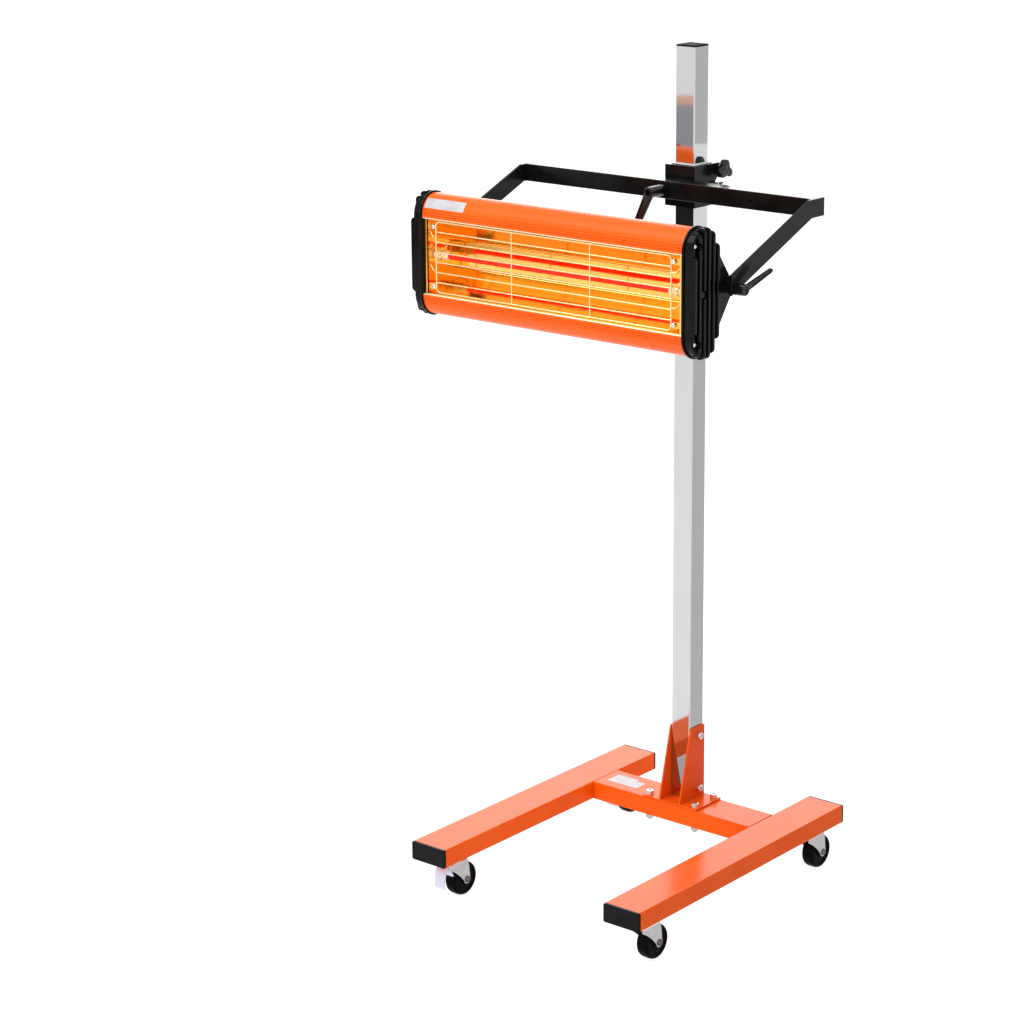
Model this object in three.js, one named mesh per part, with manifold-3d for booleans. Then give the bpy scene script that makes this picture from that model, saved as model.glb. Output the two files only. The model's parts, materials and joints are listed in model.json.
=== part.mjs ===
// Infrared curing lamp on a castor stand: a U-shaped base, a square column, a carriage that slides on
// the column, a yoke that rolls on the carriage and a lamp head that tilts in the yoke.
// Millimetres, +Z up, the front of the lamp faces -Y.
// The origin is on the floor, at the centre of the base.

import * as THREE from 'three';
import { mergeVertices } from 'three/addons/utils/BufferGeometryUtils.js';
import Module from 'manifold-3d';

const wasm = await Module();
wasm.setup();

// Clearances
const GAP = 0.3; // between two pieces that rest on each other
const FIT = 0.3; // round a shaft in its hole, on the radius

// Base legs and cross beam, rectangular tube
const LEG_LENGTH = 585;
const LEG_WIDTH = 74;
const LEG_HEIGHT = 33;
const LEG_WALL = 2;
const LEG_CORNER = 2.5;
const LEG_SPACING = 418; // between the centre lines of the legs
const LEG_CAP_FLANGE = 5;
const LEG_CAP_PLUG = 12;
const BEAM_AHEAD = 15; // centre line of the cross beam ahead of the column axis
const BEAM_HOLE_X = 104;
const BEAM_HOLE_RADIUS = 2.5;

// Column
const COLUMN_FROM_REAR = 135; // column axis to the rear face of the base
const COLUMN_SIZE = 40;
const COLUMN_WALL = 2;
const COLUMN_CORNER = 2.5;
const COLUMN_LENGTH = 1333;
const COLUMN_CAP_FLANGE = 3;
const COLUMN_CAP_PLUG = 15;

// Foot bracket that holds the column on the cross beam
const PLATE_WIDTH = 118;
const PLATE_THICKNESS = 3;
const GUSSET_THICKNESS = 3;
const GUSSET_HEIGHT = 132;
const BASE_BOLT_X = 50;
const BASE_BOLT_Y = 28; // from the beam's centre line
const COLUMN_BOLT_HEIGHTS = [18, 116]; // above the bracket plate

// M8 socket screws and nuts
const BOLT_RADIUS = 4;
const BOLT_HEAD_RADIUS = 6.5;
const BOLT_HEAD_HEIGHT = 8;
const BOLT_SOCKET = 6;
const BOLT_SOCKET_DEPTH = 4;
const BOLT_PAST_NUT = 3;
const NUT_FLATS = 13;
const NUT_HEIGHT = 6.5;

// Castors
const CASTOR_HEIGHT = 82;
const WHEEL_RADIUS = 30;
const WHEEL_WIDTH = 24;
const WHEEL_SIDES = 20;
const WHEEL_SHOULDER = 4;
const WHEEL_HUB_RADIUS = 10;
const WHEEL_DISH = 2.5;
const WHEEL_RIM = 6;
const CASTOR_TRAIL = 24; // axle behind the swivel axis
const FRONT_CASTOR_INSET = 60; // swivel axis from the front face of the base
const REAR_CASTOR_INSET = 54;
const FORK_THICKNESS = 2.5;
const FORK_SIDE_GAP = 1;
const FORK_CROWN_Z = 66; // underside of the fork crown
const FORK_CROWN_THICKNESS = 3;
const FORK_CROWN_FRONT = 20;
const FORK_CROWN_REAR = 22;
const FORK_FRONT_DEPTH = 14;
const FORK_EYE_RADIUS = 8;
const RACE_RADIUS = 20;
const RACE_HEIGHT = 5.8;
const LOWER_RACE_RADIUS = 17;
const KINGPIN_RADIUS = 4;
const KINGPIN_HEAD_RADIUS = 6.5;
const KINGPIN_HEAD_HEIGHT = 3;
const STEM_RADIUS = 5;
const STEM_NUT_FLATS = 17;
const STEM_NUT_HEIGHT = 8;
const AXLE_RADIUS = 3;
const AXLE_HEAD_RADIUS = 5.5;
const AXLE_HEAD_HEIGHT = 3;

// Brake pedals, measured from the pedal's pin
const PEDAL_PIN_Y = -14;
const PEDAL_PIN_Z = 60;
const PEDAL_PIN_RADIUS = 2.5;
const PEDAL_BARREL_RADIUS = 4.5;
const PEDAL_WIDTH = 22;

// Carriage, with heights from the roll axis
const ROLL_AXIS_Z = 1219;
const CARRIAGE_HEIGHT = 70;
const CARRIAGE_WIDTH = 62;
const CARRIAGE_FRONT = 33;
const CARRIAGE_REAR = 26;
const LINER_THICKNESS = 1.5;
const LINER_FLANGE = 3;
const LINER_RIM = 1.6;
const SLIT_WIDTH = 5;
const LUG_REAR = 38;
const LUG_TOP_DEPTH = 19; // full depth of the upper lug below the top of the carriage
const LUG_SLANT = 12;
const EAR_WIDTH = 32;
const EAR_LOW = -14;
const KNOB_AXIS_Y = 32;
const KNOB_AXIS_Z = 24;
const PINCH_AXIS_Z = -3;
const PINCH_RADIUS = 3;
const PINCH_FLATS = 11;
const PINCH_HEAD_HEIGHT = 8;
const PINCH_NUT_HEIGHT = 5;
const PINCH_WASHERS = 4;
const PINCH_WASHER_PITCH = 5;
const PINCH_WASHER_RADIUS = 5.5;
const PINCH_WASHER_WAIST = 4.2;
const KNOB_RADIUS = 14;
const KNOB_LOBE = 4;
const KNOB_LOBES = 3;
const KNOB_TURN = Math.PI / 2; // first lobe up
const KNOB_THICKNESS = 12;
const KNOB_BEVEL = 2;
const KNOB_NECK_RADIUS = 8;
const KNOB_NECK_LENGTH = 9;

// Yoke: cross tube and two cranked arms, measured from the roll axis and the column axis
const CROSSBAR_SIZE = 30;
const CROSSBAR_WALL = 2;
const CROSSBAR_CORNER = 1.5;
const CROSSBAR_BACK = 49; // back face ahead of the column axis
const ARM_THICKNESS = 5;
const ARM_WIDTH = 30;
const ARM_BEND_AHEAD = 87; // bend of the arms ahead of the column axis
const ARM_SLOPE = THREE.MathUtils.degToRad(22.9);
const ARM_FRONT_AHEAD = 303;
const ARM_EYE_RADIUS = 10;
const CROSSBAR_HOLE_X = 177;
const CROSSBAR_HOLE_RADIUS = 2.5;
const ROLL_BUSH_RADIUS = 14;
const PIVOT_AHEAD = 288; // tilt pivot ahead of the column axis
const PIVOT_DROP = 98; // tilt pivot below the roll axis
const TILT_SPACER_RADIUS = 9;
const TILT_SPACER_LENGTH = 10.7;

// Clamping levers
const ROLL_STUD_RADIUS = 5;
const ROLL_HUB_LENGTH = 39.6;
const ROLL_HUB_RECESS = 4;
const TILT_STUD_RADIUS = 4;
const TILT_HUB_LENGTH = 14.9;
const TILT_HUB_RECESS = 1;
const HUB_RADIUS = 9.3;
const HUB_BASE_RADIUS = 10;
const COLLAR_RADIUS = 10;
const COLLAR_HEIGHT = 2;
const INSERT_RADIUS = 6;
const LEVER_LIFT = 3;
const HUB_WEB = 2;
const HUB_SCREW_RADIUS = 2.5;
const HUB_SCREW_HEAD_RADIUS = 4.5;
const HUB_SCREW_HEAD_HEIGHT = 2;
const HANDLE_REACH = 65; // lever axis to the tip of the handle
const ROLL_HANDLE_WIDTHS = [15, 11]; // at the hub and at the tip
const TILT_HANDLE_WIDTHS = [11, 7.5];
const HANDLE_THICKNESS = 8;
const HANDLE_RISE = THREE.MathUtils.degToRad(9);
const ROLL_HANDLE_ANGLE = THREE.MathUtils.degToRad(20); // from straight down, towards -X
const TILT_HANDLE_ANGLE = THREE.MathUtils.degToRad(22.5); // above the horizontal, towards the rear

// Lamp head, measured from the centre of its section
const HEAD_LENGTH = 534; // of the orange housing
const HEAD_DEPTH = 66;
const HEAD_HEIGHT = 204;
const MOUTH_HEIGHT = 132;
const HEAD_WALL = 2;
const HEAD_AHEAD = 63; // centre of the section ahead of the tilt pivot
const LIP_DEPTH = 3;
const LIP_RETURN = 3;
const CHANNEL_Y = -23;
const CHANNEL_Z = 77;
const CHANNEL_RADIUS = 4.5;
const ARC_STEPS = 6;

// End caps of the head
const CAP_RIM = 3;
const CAP_RIM_THICKNESS = 4;
const CAP_BODY = 12.7; // inner face of the cap to the foot of its ribs
const CAP_WALL = 4;
const RIB_COUNT = 6;
const RIB_THICKNESS = 7.2;
const RIB_HEIGHT = 12;
const RIB_CORNER = 8;
const RIB_FULLNESS = 0.98; // where the section is read for a rib's height, as a share of its outer edge
const CAP_BOSS_RADIUS = 5.5;
const CAP_POCKET_RADIUS = 6.5;
const CAP_MID_BOSS = 3;
const CAP_VENT_RADIUS = 1.5;
const CAP_VENT_Z = 25;

// Small screws of the head
const SCREW_RADIUS = 1.6;
const SCREW_HEAD_RADIUS = 4;
const SCREW_HEAD_HEIGHT = 2.5;
const CAP_SCREW_LENGTH = 34;
const EAR_SCREW_RADIUS = 2.4;
const EAR_SCREW_LENGTH = 12;

// Reflector, its end plates and the quartz lamp
const REFLECTOR_THICKNESS = 1;
const REFLECTOR_MARGIN = 8; // housing beyond each end of the reflector
const REFLECTOR_BACK = 23; // vertex behind the centre of the section
const REFLECTOR_MOUTH = 124;
const REFLECTOR_FLANGE = 8;
const REFLECTOR_STEPS = 7;
const END_PLATE_THICKNESS = 1.5;
const END_PLATE_MARGIN = 5;
const LAMP_Y = -9;
const TUBE_RADIUS = 5.5;
const TUBE_WALL = 1;
const HOLDER_RADIUS = 7.5;
const HOLDER_LENGTH = 31;
const HOLDER_SOCKET = 7;
const FILAMENT_RADIUS = 0.9;
const FILAMENT_DISC = 2;

// Wire grille in the mouth
const GRILLE_MARGIN = 17; // reflector beyond each side of the grille
const GRILLE_HEIGHT = 118;
const GRILLE_Y = -27;
const GRILLE_FRAME_RADIUS = 1.5;
const GRILLE_WIRE_RADIUS = 1.3;
const GRILLE_CORNER = 8;
const GRILLE_ROWS = 7;
const GRILLE_COLUMNS = 3;
const GRILLE_WIRE_LEAD = 1.3; // cross wires ahead of the frame
const GRILLE_SCREW_OUT = 5; // screws beyond the sides of the frame
const GRILLE_SCREW_Z = 50;
const GRILLE_SCREW_HEAD_RADIUS = 6;
const GRILLE_SCREW_LENGTH = 10;
const TAB_WIDTH = 10;

// Pivot ears behind the head
const EAR_THICKNESS = 3;
const EAR_ROOT_HEIGHT = 124;
const EAR_EYE_RADIUS = 12;
const EAR_BEYOND = 17; // ear plate beyond the end of the housing
const EAR_FLANGE = 39;
const EAR_SCREW_INSET = 9; // screw line inside the end of the housing
const EAR_SCREW_Z = 45;
const EAR_NUT_HEIGHT = 6;

// Terminal box behind the head, with its switch and cable gland
const BOX_WIDTH = 110;
const BOX_HEIGHT = 64;
const BOX_DEPTH = 32;
const BOX_WALL = 2.5;
const BOX_CORNER = 5;
const SWITCH_X = 28;
const SWITCH_WIDTH = 12;
const SWITCH_HEIGHT = 18.4;
const SWITCH_DEPTH = 4; // pin of the rocker below the face of the box
const SWITCH_THROW = THREE.MathUtils.degToRad(10);
const BEZEL_EDGE = 2.5;
const BEZEL_HEIGHT = 1.5;
const GLAND_X = -28;
const GLAND_BORE = 3.6;
const GLAND_RADIUS = 8;
const GLAND_NUT_RADIUS = 11;
const WIRE_HOLE_RADIUS = 8;

// Values that follow from the sizes above
const LEG_TOP = CASTOR_HEIGHT + LEG_HEIGHT;
const BASE_HALF_LENGTH = LEG_LENGTH / 2 + LEG_CAP_FLANGE;
const COLUMN_Y = BASE_HALF_LENGTH - COLUMN_FROM_REAR;
const BEAM_Y = COLUMN_Y - BEAM_AHEAD;
const PLATE_TOP = LEG_TOP + GAP + PLATE_THICKNESS;
const COLUMN_HALF = COLUMN_SIZE / 2;
const GUSSET_INSIDE = COLUMN_HALF + GAP;
const LINER_INSIDE = COLUMN_HALF + GAP;
const SLEEVE_INSIDE = LINER_INSIDE + LINER_THICKNESS + GAP;
const HEAD_HALF = HEAD_LENGTH / 2;
const MOUTH_HALF = MOUTH_HEIGHT / 2;
const ARC_DEPTH = HEAD_DEPTH / 2;
const ARC_RISE = (HEAD_HEIGHT - MOUTH_HEIGHT) / 2;
const CAP_INNER = HEAD_HALF + GAP;
const RIB_FOOT = CAP_INNER + CAP_BODY;
const EAR_INNER_X = HEAD_HALF + EAR_BEYOND;
const EAR_OUTER_X = EAR_INNER_X + EAR_THICKNESS;
const EAR_SCREW_X = HEAD_HALF - EAR_SCREW_INSET;
const ARM_INSIDE = EAR_OUTER_X + TILT_SPACER_LENGTH + GAP;
const ARM_OUTSIDE = ARM_INSIDE + ARM_THICKNESS;
const REFLECTOR_LENGTH = HEAD_LENGTH - 2 * REFLECTOR_MARGIN;
const GRILLE_WIDTH = REFLECTOR_LENGTH - 2 * GRILLE_MARGIN;
const GRILLE_SCREW_X = GRILLE_WIDTH / 2 + GRILLE_SCREW_OUT;
const TUBE_HALF = REFLECTOR_LENGTH / 2 - HOLDER_LENGTH + HOLDER_SOCKET - 2 * GAP;

// Finishes
const ORANGE_PAINT = { color: 0xf0591c, roughness: 0.35, metalness: 0.1 };
const BLACK_PAINT = { color: 0x141415, roughness: 0.4, metalness: 0.2 };
const BLACK_PLASTIC = { color: 0x17171a, roughness: 0.5, metalness: 0 };
const POLISHED_STEEL = { color: 0xc8c9cb, roughness: 0.12, metalness: 1 };
const ZINC = { color: 0xd9dadd, roughness: 0.3, metalness: 0.9 };
const WHITE_NYLON = { color: 0xeeeeec, roughness: 0.6, metalness: 0 };
const TYRE_BLACK = { color: 0x101011, roughness: 0.55, metalness: 0 };
const GOLD_REFLECTOR = { color: 0xf2b84a, roughness: 0.15, metalness: 1 };
const CERAMIC = { color: 0xf1e6cf, roughness: 0.7, metalness: 0 };
const QUARTZ = { color: 0xff9a5a, roughness: 0.05, metalness: 0, transparent: true, opacity: 0.5 };
const HOT_WIRE = { color: 0xffb36b, roughness: 0.4, metalness: 0.4, emissive: 0xff5a14 };
const GRILLE_STEEL = { color: 0xd2cfc8, roughness: 0.25, metalness: 0.9 };
const SWITCH_RED = { color: 0xb3161b, roughness: 0.35, metalness: 0 };

const TO_X = new THREE.Vector3(1, 0, 0);
const TO_Y = new THREE.Vector3(0, 1, 0);
const TO_Z = new THREE.Vector3(0, 0, 1);
const TO_FRONT = new THREE.Vector3(0, -1, 0);

// A closed geometry as a solid that can be cut and joined
function toSolid(geometry) {
  const bare = geometry.clone();
  bare.deleteAttribute('normal');
  bare.deleteAttribute('uv');
  const merged = mergeVertices(bare, 1e-4);
  return new wasm.Manifold(new wasm.Mesh({
    numProp: 3,
    vertProperties: new Float32Array(merged.attributes.position.array),
    triVerts: new Uint32Array(merged.index.array),
  }));
}

function toGeometry(solid) {
  const mesh = solid.getMesh();
  const geometry = new THREE.BufferGeometry();
  geometry.setAttribute('position', new THREE.BufferAttribute(new Float32Array(mesh.vertProperties), 3));
  geometry.setIndex(new THREE.BufferAttribute(new Uint32Array(mesh.triVerts), 1));
  geometry.computeVertexNormals();
  return geometry;
}

// Geometries joined into one, whether they meet or lie apart
function join(...geometries) {
  let result = toSolid(geometries[0]);
  for (const geometry of geometries.slice(1)) {
    result = result.add(toSolid(geometry));
  }
  return toGeometry(result);
}

function cut(geometry, ...tools) {
  let result = toSolid(geometry);
  for (const tool of tools) {
    result = result.subtract(toSolid(tool));
  }
  return toGeometry(result);
}

// A mirror copy across the plane X = 0, with its faces still pointing out
function mirrored(geometry) {
  const solid = toSolid(geometry).mirror([1, 0, 0]);
  return toGeometry(solid);
}

function block(x0, x1, y0, y1, z0, z1) {
  const geometry = new THREE.BoxGeometry(x1 - x0, y1 - y0, z1 - z0);
  return geometry.translate((x0 + x1) / 2, (y0 + y1) / 2, (z0 + z1) / 2);
}

// A round or many-sided rod between two distances along a direction
function rod(direction, radius, from, to, sides = 16) {
  const geometry = new THREE.CylinderGeometry(radius, radius, to - from, sides);
  geometry.translate(0, (from + to) / 2, 0);
  return geometry.applyQuaternion(new THREE.Quaternion().setFromUnitVectors(TO_Y, direction));
}

function hexRod(direction, flats, from, to) {
  return rod(direction, flats / Math.sqrt(3), from, to, 6);
}

// A turned piece from [radius, distance] pairs, counted along a direction
function turned(direction, pairs, sides = 16) {
  const points = pairs.map(([radius, distance]) => new THREE.Vector2(radius, distance));
  const geometry = new THREE.LatheGeometry(points, sides);
  return geometry.applyQuaternion(new THREE.Quaternion().setFromUnitVectors(TO_Y, direction));
}

// A turned piece with a bore: the profile comes back to its first pair
function turnedRing(direction, pairs, sides = 16) {
  return turned(direction, [...pairs, pairs[0]], sides);
}

function roundedRectangle(width, height, corner) {
  const x = width / 2 - corner;
  const y = height / 2 - corner;
  const shape = new THREE.Shape();
  shape.absarc(x, y, corner, 0, Math.PI / 2);
  shape.absarc(-x, y, corner, Math.PI / 2, Math.PI);
  shape.absarc(-x, -y, corner, Math.PI, 1.5 * Math.PI);
  shape.absarc(x, -y, corner, 1.5 * Math.PI, 2 * Math.PI);
  return shape;
}

function polygon(pairs) {
  return new THREE.Shape(pairs.map(([x, y]) => new THREE.Vector2(x, y)));
}

function extruded(shape, from, to, curveSegments = 4) {
  const settings = { depth: to - from, bevelEnabled: false, curveSegments };
  const geometry = new THREE.ExtrudeGeometry(shape, settings);
  return geometry.translate(0, 0, from);
}

// A shape drawn in Y and Z, extruded along X
function alongX(shape, from, to, curveSegments = 4) {
  return extruded(shape, from, to, curveSegments).rotateX(Math.PI / 2).rotateZ(Math.PI / 2);
}

// A shape drawn in X and Z, extruded along Y
function alongY(shape, from, to, curveSegments = 4) {
  return extruded(shape, -to, -from, curveSegments).rotateX(Math.PI / 2);
}

// A rectangular tube's shape: its outline with the bore as a hole
function tubeShape(width, height, corner, wall) {
  const shape = roundedRectangle(width, height, corner);
  const bore = roundedRectangle(width - 2 * wall, height - 2 * wall, Math.max(corner - wall, 0.4));
  shape.holes.push(new THREE.Path(bore.getPoints(3).reverse()));
  return shape;
}

function addMesh(group, name, geometry, finish) {
  const mesh = new THREE.Mesh(geometry, new THREE.MeshStandardMaterial(finish));
  mesh.name = name;
  group.add(mesh);
  return mesh;
}

function addGroup(parent, x, y, z) {
  const group = new THREE.Group();
  group.position.set(x, y, z);
  parent.add(group);
  return group;
}

const lamp = new THREE.Group();

// The base: two legs, the cross beam between them and the plastic caps in the ends of the legs

const castorPlaces = [];
for (const [side, x] of [['left', -LEG_SPACING / 2], ['right', LEG_SPACING / 2]]) {
  castorPlaces.push({ name: `front_${side}`, x, y: -BASE_HALF_LENGTH + FRONT_CASTOR_INSET });
  castorPlaces.push({ name: `rear_${side}`, x, y: BASE_HALF_LENGTH - REAR_CASTOR_INSET });
}

function makeLeg(x) {
  const shape = tubeShape(LEG_WIDTH, LEG_HEIGHT, LEG_CORNER, LEG_WALL);
  const tube = alongY(shape, -LEG_LENGTH / 2, LEG_LENGTH / 2, 3);
  tube.translate(x, 0, CASTOR_HEIGHT + LEG_HEIGHT / 2);
  const holes = castorPlaces
    .filter((place) => place.x === x)
    .map((place) => rod(TO_Z, STEM_RADIUS + FIT, CASTOR_HEIGHT - 1, CASTOR_HEIGHT + LEG_WALL + 1, 12)
      .translate(place.x, place.y, 0));
  return cut(tube, ...holes);
}

function makeLegCap() {
  const plugWidth = LEG_WIDTH - 2 * LEG_WALL - 2 * GAP;
  const plugHeight = LEG_HEIGHT - 2 * LEG_WALL - 2 * GAP;
  const flange = alongY(roundedRectangle(LEG_WIDTH, LEG_HEIGHT, LEG_CORNER), GAP, LEG_CAP_FLANGE, 2);
  const plug = alongY(roundedRectangle(plugWidth, plugHeight, 1), -LEG_CAP_PLUG, GAP + 1, 1);
  return join(flange, plug);
}

const baseBoltPlaces = [];
for (const [side, x] of [['left', -BASE_BOLT_X], ['right', BASE_BOLT_X]]) {
  baseBoltPlaces.push({ name: `front_${side}`, x, y: BEAM_Y - BASE_BOLT_Y });
  baseBoltPlaces.push({ name: `rear_${side}`, x, y: BEAM_Y + BASE_BOLT_Y });
}

function makeCrossBeam() {
  const half = LEG_SPACING / 2 - LEG_WIDTH / 2 - GAP;
  const shape = tubeShape(LEG_WIDTH, LEG_HEIGHT, LEG_CORNER, LEG_WALL);
  const tube = alongX(shape, -half, half, 3).translate(0, BEAM_Y, CASTOR_HEIGHT + LEG_HEIGHT / 2);
  const boltHoles = baseBoltPlaces
    .map(({ x, y }) => rod(TO_Z, BOLT_RADIUS + FIT, CASTOR_HEIGHT - 1, LEG_TOP + 1, 10).translate(x, y, 0));
  const smallHole = rod(TO_Z, BEAM_HOLE_RADIUS, LEG_TOP - LEG_WALL - 1, LEG_TOP + 1, 12);
  return cut(tube, ...boltHoles, smallHole.translate(BEAM_HOLE_X, BEAM_Y, 0));
}

// The foot bracket: a plate on the beam and two upright gussets beside the column

function makeFootBracket() {
  const half = PLATE_WIDTH / 2;
  const front = BEAM_Y - LEG_WIDTH / 2;
  const rear = BEAM_Y + LEG_WIDTH / 2;
  const plate = block(-half, half, front, rear, LEG_TOP + GAP, PLATE_TOP);
  const gusset = polygon([
    [front, PLATE_TOP - 1],
    [COLUMN_Y + COLUMN_HALF, PLATE_TOP - 1],
    [COLUMN_Y + COLUMN_HALF, PLATE_TOP + GUSSET_HEIGHT],
    [COLUMN_Y - COLUMN_HALF, PLATE_TOP + GUSSET_HEIGHT],
    [front, PLATE_TOP + 2],
  ]);
  const right = alongX(gusset, GUSSET_INSIDE, GUSSET_INSIDE + GUSSET_THICKNESS);
  const left = alongX(gusset, -GUSSET_INSIDE - GUSSET_THICKNESS, -GUSSET_INSIDE);
  const boltHoles = baseBoltPlaces
    .map(({ x, y }) => rod(TO_Z, BOLT_RADIUS + FIT, LEG_TOP - 1, PLATE_TOP + 1, 10).translate(x, y, 0));
  const reach = GUSSET_INSIDE + GUSSET_THICKNESS + 1;
  const columnHoles = COLUMN_BOLT_HEIGHTS
    .map((height) => rod(TO_X, BOLT_RADIUS + FIT, -reach, reach, 12)
      .translate(0, COLUMN_Y, PLATE_TOP + height));
  return cut(join(plate, right, left), ...boltHoles, ...columnHoles);
}

// A socket screw with its nut: the head sits past distance 0 along a direction, the nut's face at -grip
function boltAndNut(direction, grip) {
  const end = -grip - NUT_HEIGHT - BOLT_PAST_NUT;
  const shank = rod(direction, BOLT_RADIUS, end, 1, 10);
  const head = rod(direction, BOLT_HEAD_RADIUS, 0, BOLT_HEAD_HEIGHT, 14);
  const nut = hexRod(direction, NUT_FLATS, -grip - NUT_HEIGHT, -grip);
  const socket = hexRod(direction, BOLT_SOCKET, BOLT_HEAD_HEIGHT - BOLT_SOCKET_DEPTH, BOLT_HEAD_HEIGHT + 1);
  return cut(join(shank, head, nut), socket);
}

function makeBaseBolt(place) {
  const grip = PLATE_THICKNESS + LEG_HEIGHT + 3 * GAP;
  return boltAndNut(TO_Z, grip).translate(place.x, place.y, PLATE_TOP + GAP);
}

function makeColumnBolt(height) {
  const side = GUSSET_INSIDE + GUSSET_THICKNESS + GAP;
  return boltAndNut(TO_X, 2 * side).translate(side, COLUMN_Y, PLATE_TOP + height);
}

function makeColumn() {
  const shape = tubeShape(COLUMN_SIZE, COLUMN_SIZE, COLUMN_CORNER, COLUMN_WALL);
  const tube = extruded(shape, 0, COLUMN_LENGTH, 3).translate(0, COLUMN_Y, PLATE_TOP + GAP);
  const holes = COLUMN_BOLT_HEIGHTS.map((height) => rod(TO_X, BOLT_RADIUS + FIT, -COLUMN_SIZE, COLUMN_SIZE, 12)
    .translate(0, COLUMN_Y, PLATE_TOP + height));
  return cut(tube, ...holes);
}

function makeColumnCap() {
  const plugSize = COLUMN_SIZE - 2 * COLUMN_WALL - 2 * GAP;
  const outline = roundedRectangle(COLUMN_SIZE, COLUMN_SIZE, COLUMN_CORNER);
  const flange = extruded(outline, GAP, COLUMN_CAP_FLANGE, 3);
  const plug = extruded(roundedRectangle(plugSize, plugSize, 1), -COLUMN_CAP_PLUG, GAP + 1, 2);
  return join(flange, plug).translate(0, COLUMN_Y, PLATE_TOP + GAP + COLUMN_LENGTH);
}

// The castors: a race and stem nutted into the leg, a fork with its axle that swivels under it and a wheel

function makeCastorRace() {
  const underCrown = FORK_CROWN_Z - GAP;
  const raceTop = CASTOR_HEIGHT - GAP;
  const nutFoot = CASTOR_HEIGHT + LEG_WALL + GAP;
  const stem = turned(TO_Z, [
    [0, underCrown - KINGPIN_HEAD_HEIGHT],
    [KINGPIN_HEAD_RADIUS, underCrown - KINGPIN_HEAD_HEIGHT],
    [KINGPIN_HEAD_RADIUS, underCrown],
    [KINGPIN_RADIUS, underCrown],
    [KINGPIN_RADIUS, raceTop - RACE_HEIGHT],
    [RACE_RADIUS, raceTop - RACE_HEIGHT],
    [RACE_RADIUS, raceTop],
    [STEM_RADIUS, raceTop],
    [STEM_RADIUS, nutFoot + STEM_NUT_HEIGHT + BOLT_PAST_NUT],
    [0, nutFoot + STEM_NUT_HEIGHT + BOLT_PAST_NUT],
  ], 12);
  return join(stem, hexRod(TO_Z, STEM_NUT_FLATS, nutFoot, nutFoot + STEM_NUT_HEIGHT));
}

function makeFork() {
  const inside = WHEEL_WIDTH / 2 + FORK_SIDE_GAP;
  const outside = inside + FORK_THICKNESS;
  const crownTop = FORK_CROWN_Z + FORK_CROWN_THICKNESS;
  const side = new THREE.Shape();
  side.moveTo(-FORK_CROWN_FRONT, crownTop);
  side.lineTo(-FORK_CROWN_FRONT, crownTop - FORK_FRONT_DEPTH);
  side.quadraticCurveTo(
    CASTOR_TRAIL / 3, FORK_CROWN_Z - FORK_FRONT_DEPTH,
    CASTOR_TRAIL - FORK_EYE_RADIUS, WHEEL_RADIUS,
  );
  side.absarc(CASTOR_TRAIL, WHEEL_RADIUS, FORK_EYE_RADIUS, Math.PI, 2 * Math.PI);
  side.lineTo(FORK_CROWN_REAR + FORK_EYE_RADIUS - 2, crownTop - FORK_FRONT_DEPTH);
  side.lineTo(FORK_CROWN_REAR, crownTop);
  const right = alongX(side, inside, outside, 4);
  const left = alongX(side, -outside, -inside, 4);
  const crown = block(-outside, outside, -FORK_CROWN_FRONT, FORK_CROWN_REAR, FORK_CROWN_Z, crownTop);
  const lowerRace = rod(TO_Z, LOWER_RACE_RADIUS, crownTop - 1, CASTOR_HEIGHT - RACE_HEIGHT - 2 * GAP, 16);
  const kingpinHole = rod(TO_Z, KINGPIN_RADIUS + FIT, FORK_CROWN_Z - 1, CASTOR_HEIGHT, 12);
  const pinHole = rod(TO_X, PEDAL_PIN_RADIUS + FIT, -outside - 1, outside + 1, 8);
  const axle = join(
    rod(TO_X, AXLE_RADIUS, -outside, outside, 10),
    rod(TO_X, AXLE_HEAD_RADIUS, outside - 1, outside + AXLE_HEAD_HEIGHT, 10),
    hexRod(TO_X, 2 * AXLE_HEAD_RADIUS, -outside - AXLE_HEAD_HEIGHT, -outside + 1),
  );
  return cut(
    join(crown, right, left, lowerRace, axle.translate(0, CASTOR_TRAIL, WHEEL_RADIUS)),
    kingpinHole,
    pinHole.translate(0, PEDAL_PIN_Y, PEDAL_PIN_Z),
  );
}

// The tread is a ring of flats, one of them level on the floor, so the flats lie at the wheel's radius
function makeWheel() {
  const flatToCorner = 1 / Math.cos(Math.PI / WHEEL_SIDES);
  const half = WHEEL_WIDTH / 2;
  const tread = WHEEL_RADIUS * flatToCorner;
  const rimInside = WHEEL_RADIUS - WHEEL_RIM;
  const wheel = turnedRing(TO_X, [
    [AXLE_RADIUS + FIT, -half],
    [WHEEL_HUB_RADIUS, -half],
    [WHEEL_HUB_RADIUS + 1, -half + WHEEL_DISH],
    [rimInside, -half + WHEEL_DISH],
    [rimInside, -half],
    [tread, -half + WHEEL_SHOULDER],
    [tread, half - WHEEL_SHOULDER],
    [rimInside, half],
    [rimInside, half - WHEEL_DISH],
    [WHEEL_HUB_RADIUS + 1, half - WHEEL_DISH],
    [WHEEL_HUB_RADIUS, half],
    [AXLE_RADIUS + FIT, half],
  ], WHEEL_SIDES);
  return wheel.rotateX(Math.PI / WHEEL_SIDES).translate(0, CASTOR_TRAIL, WHEEL_RADIUS);
}

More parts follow.
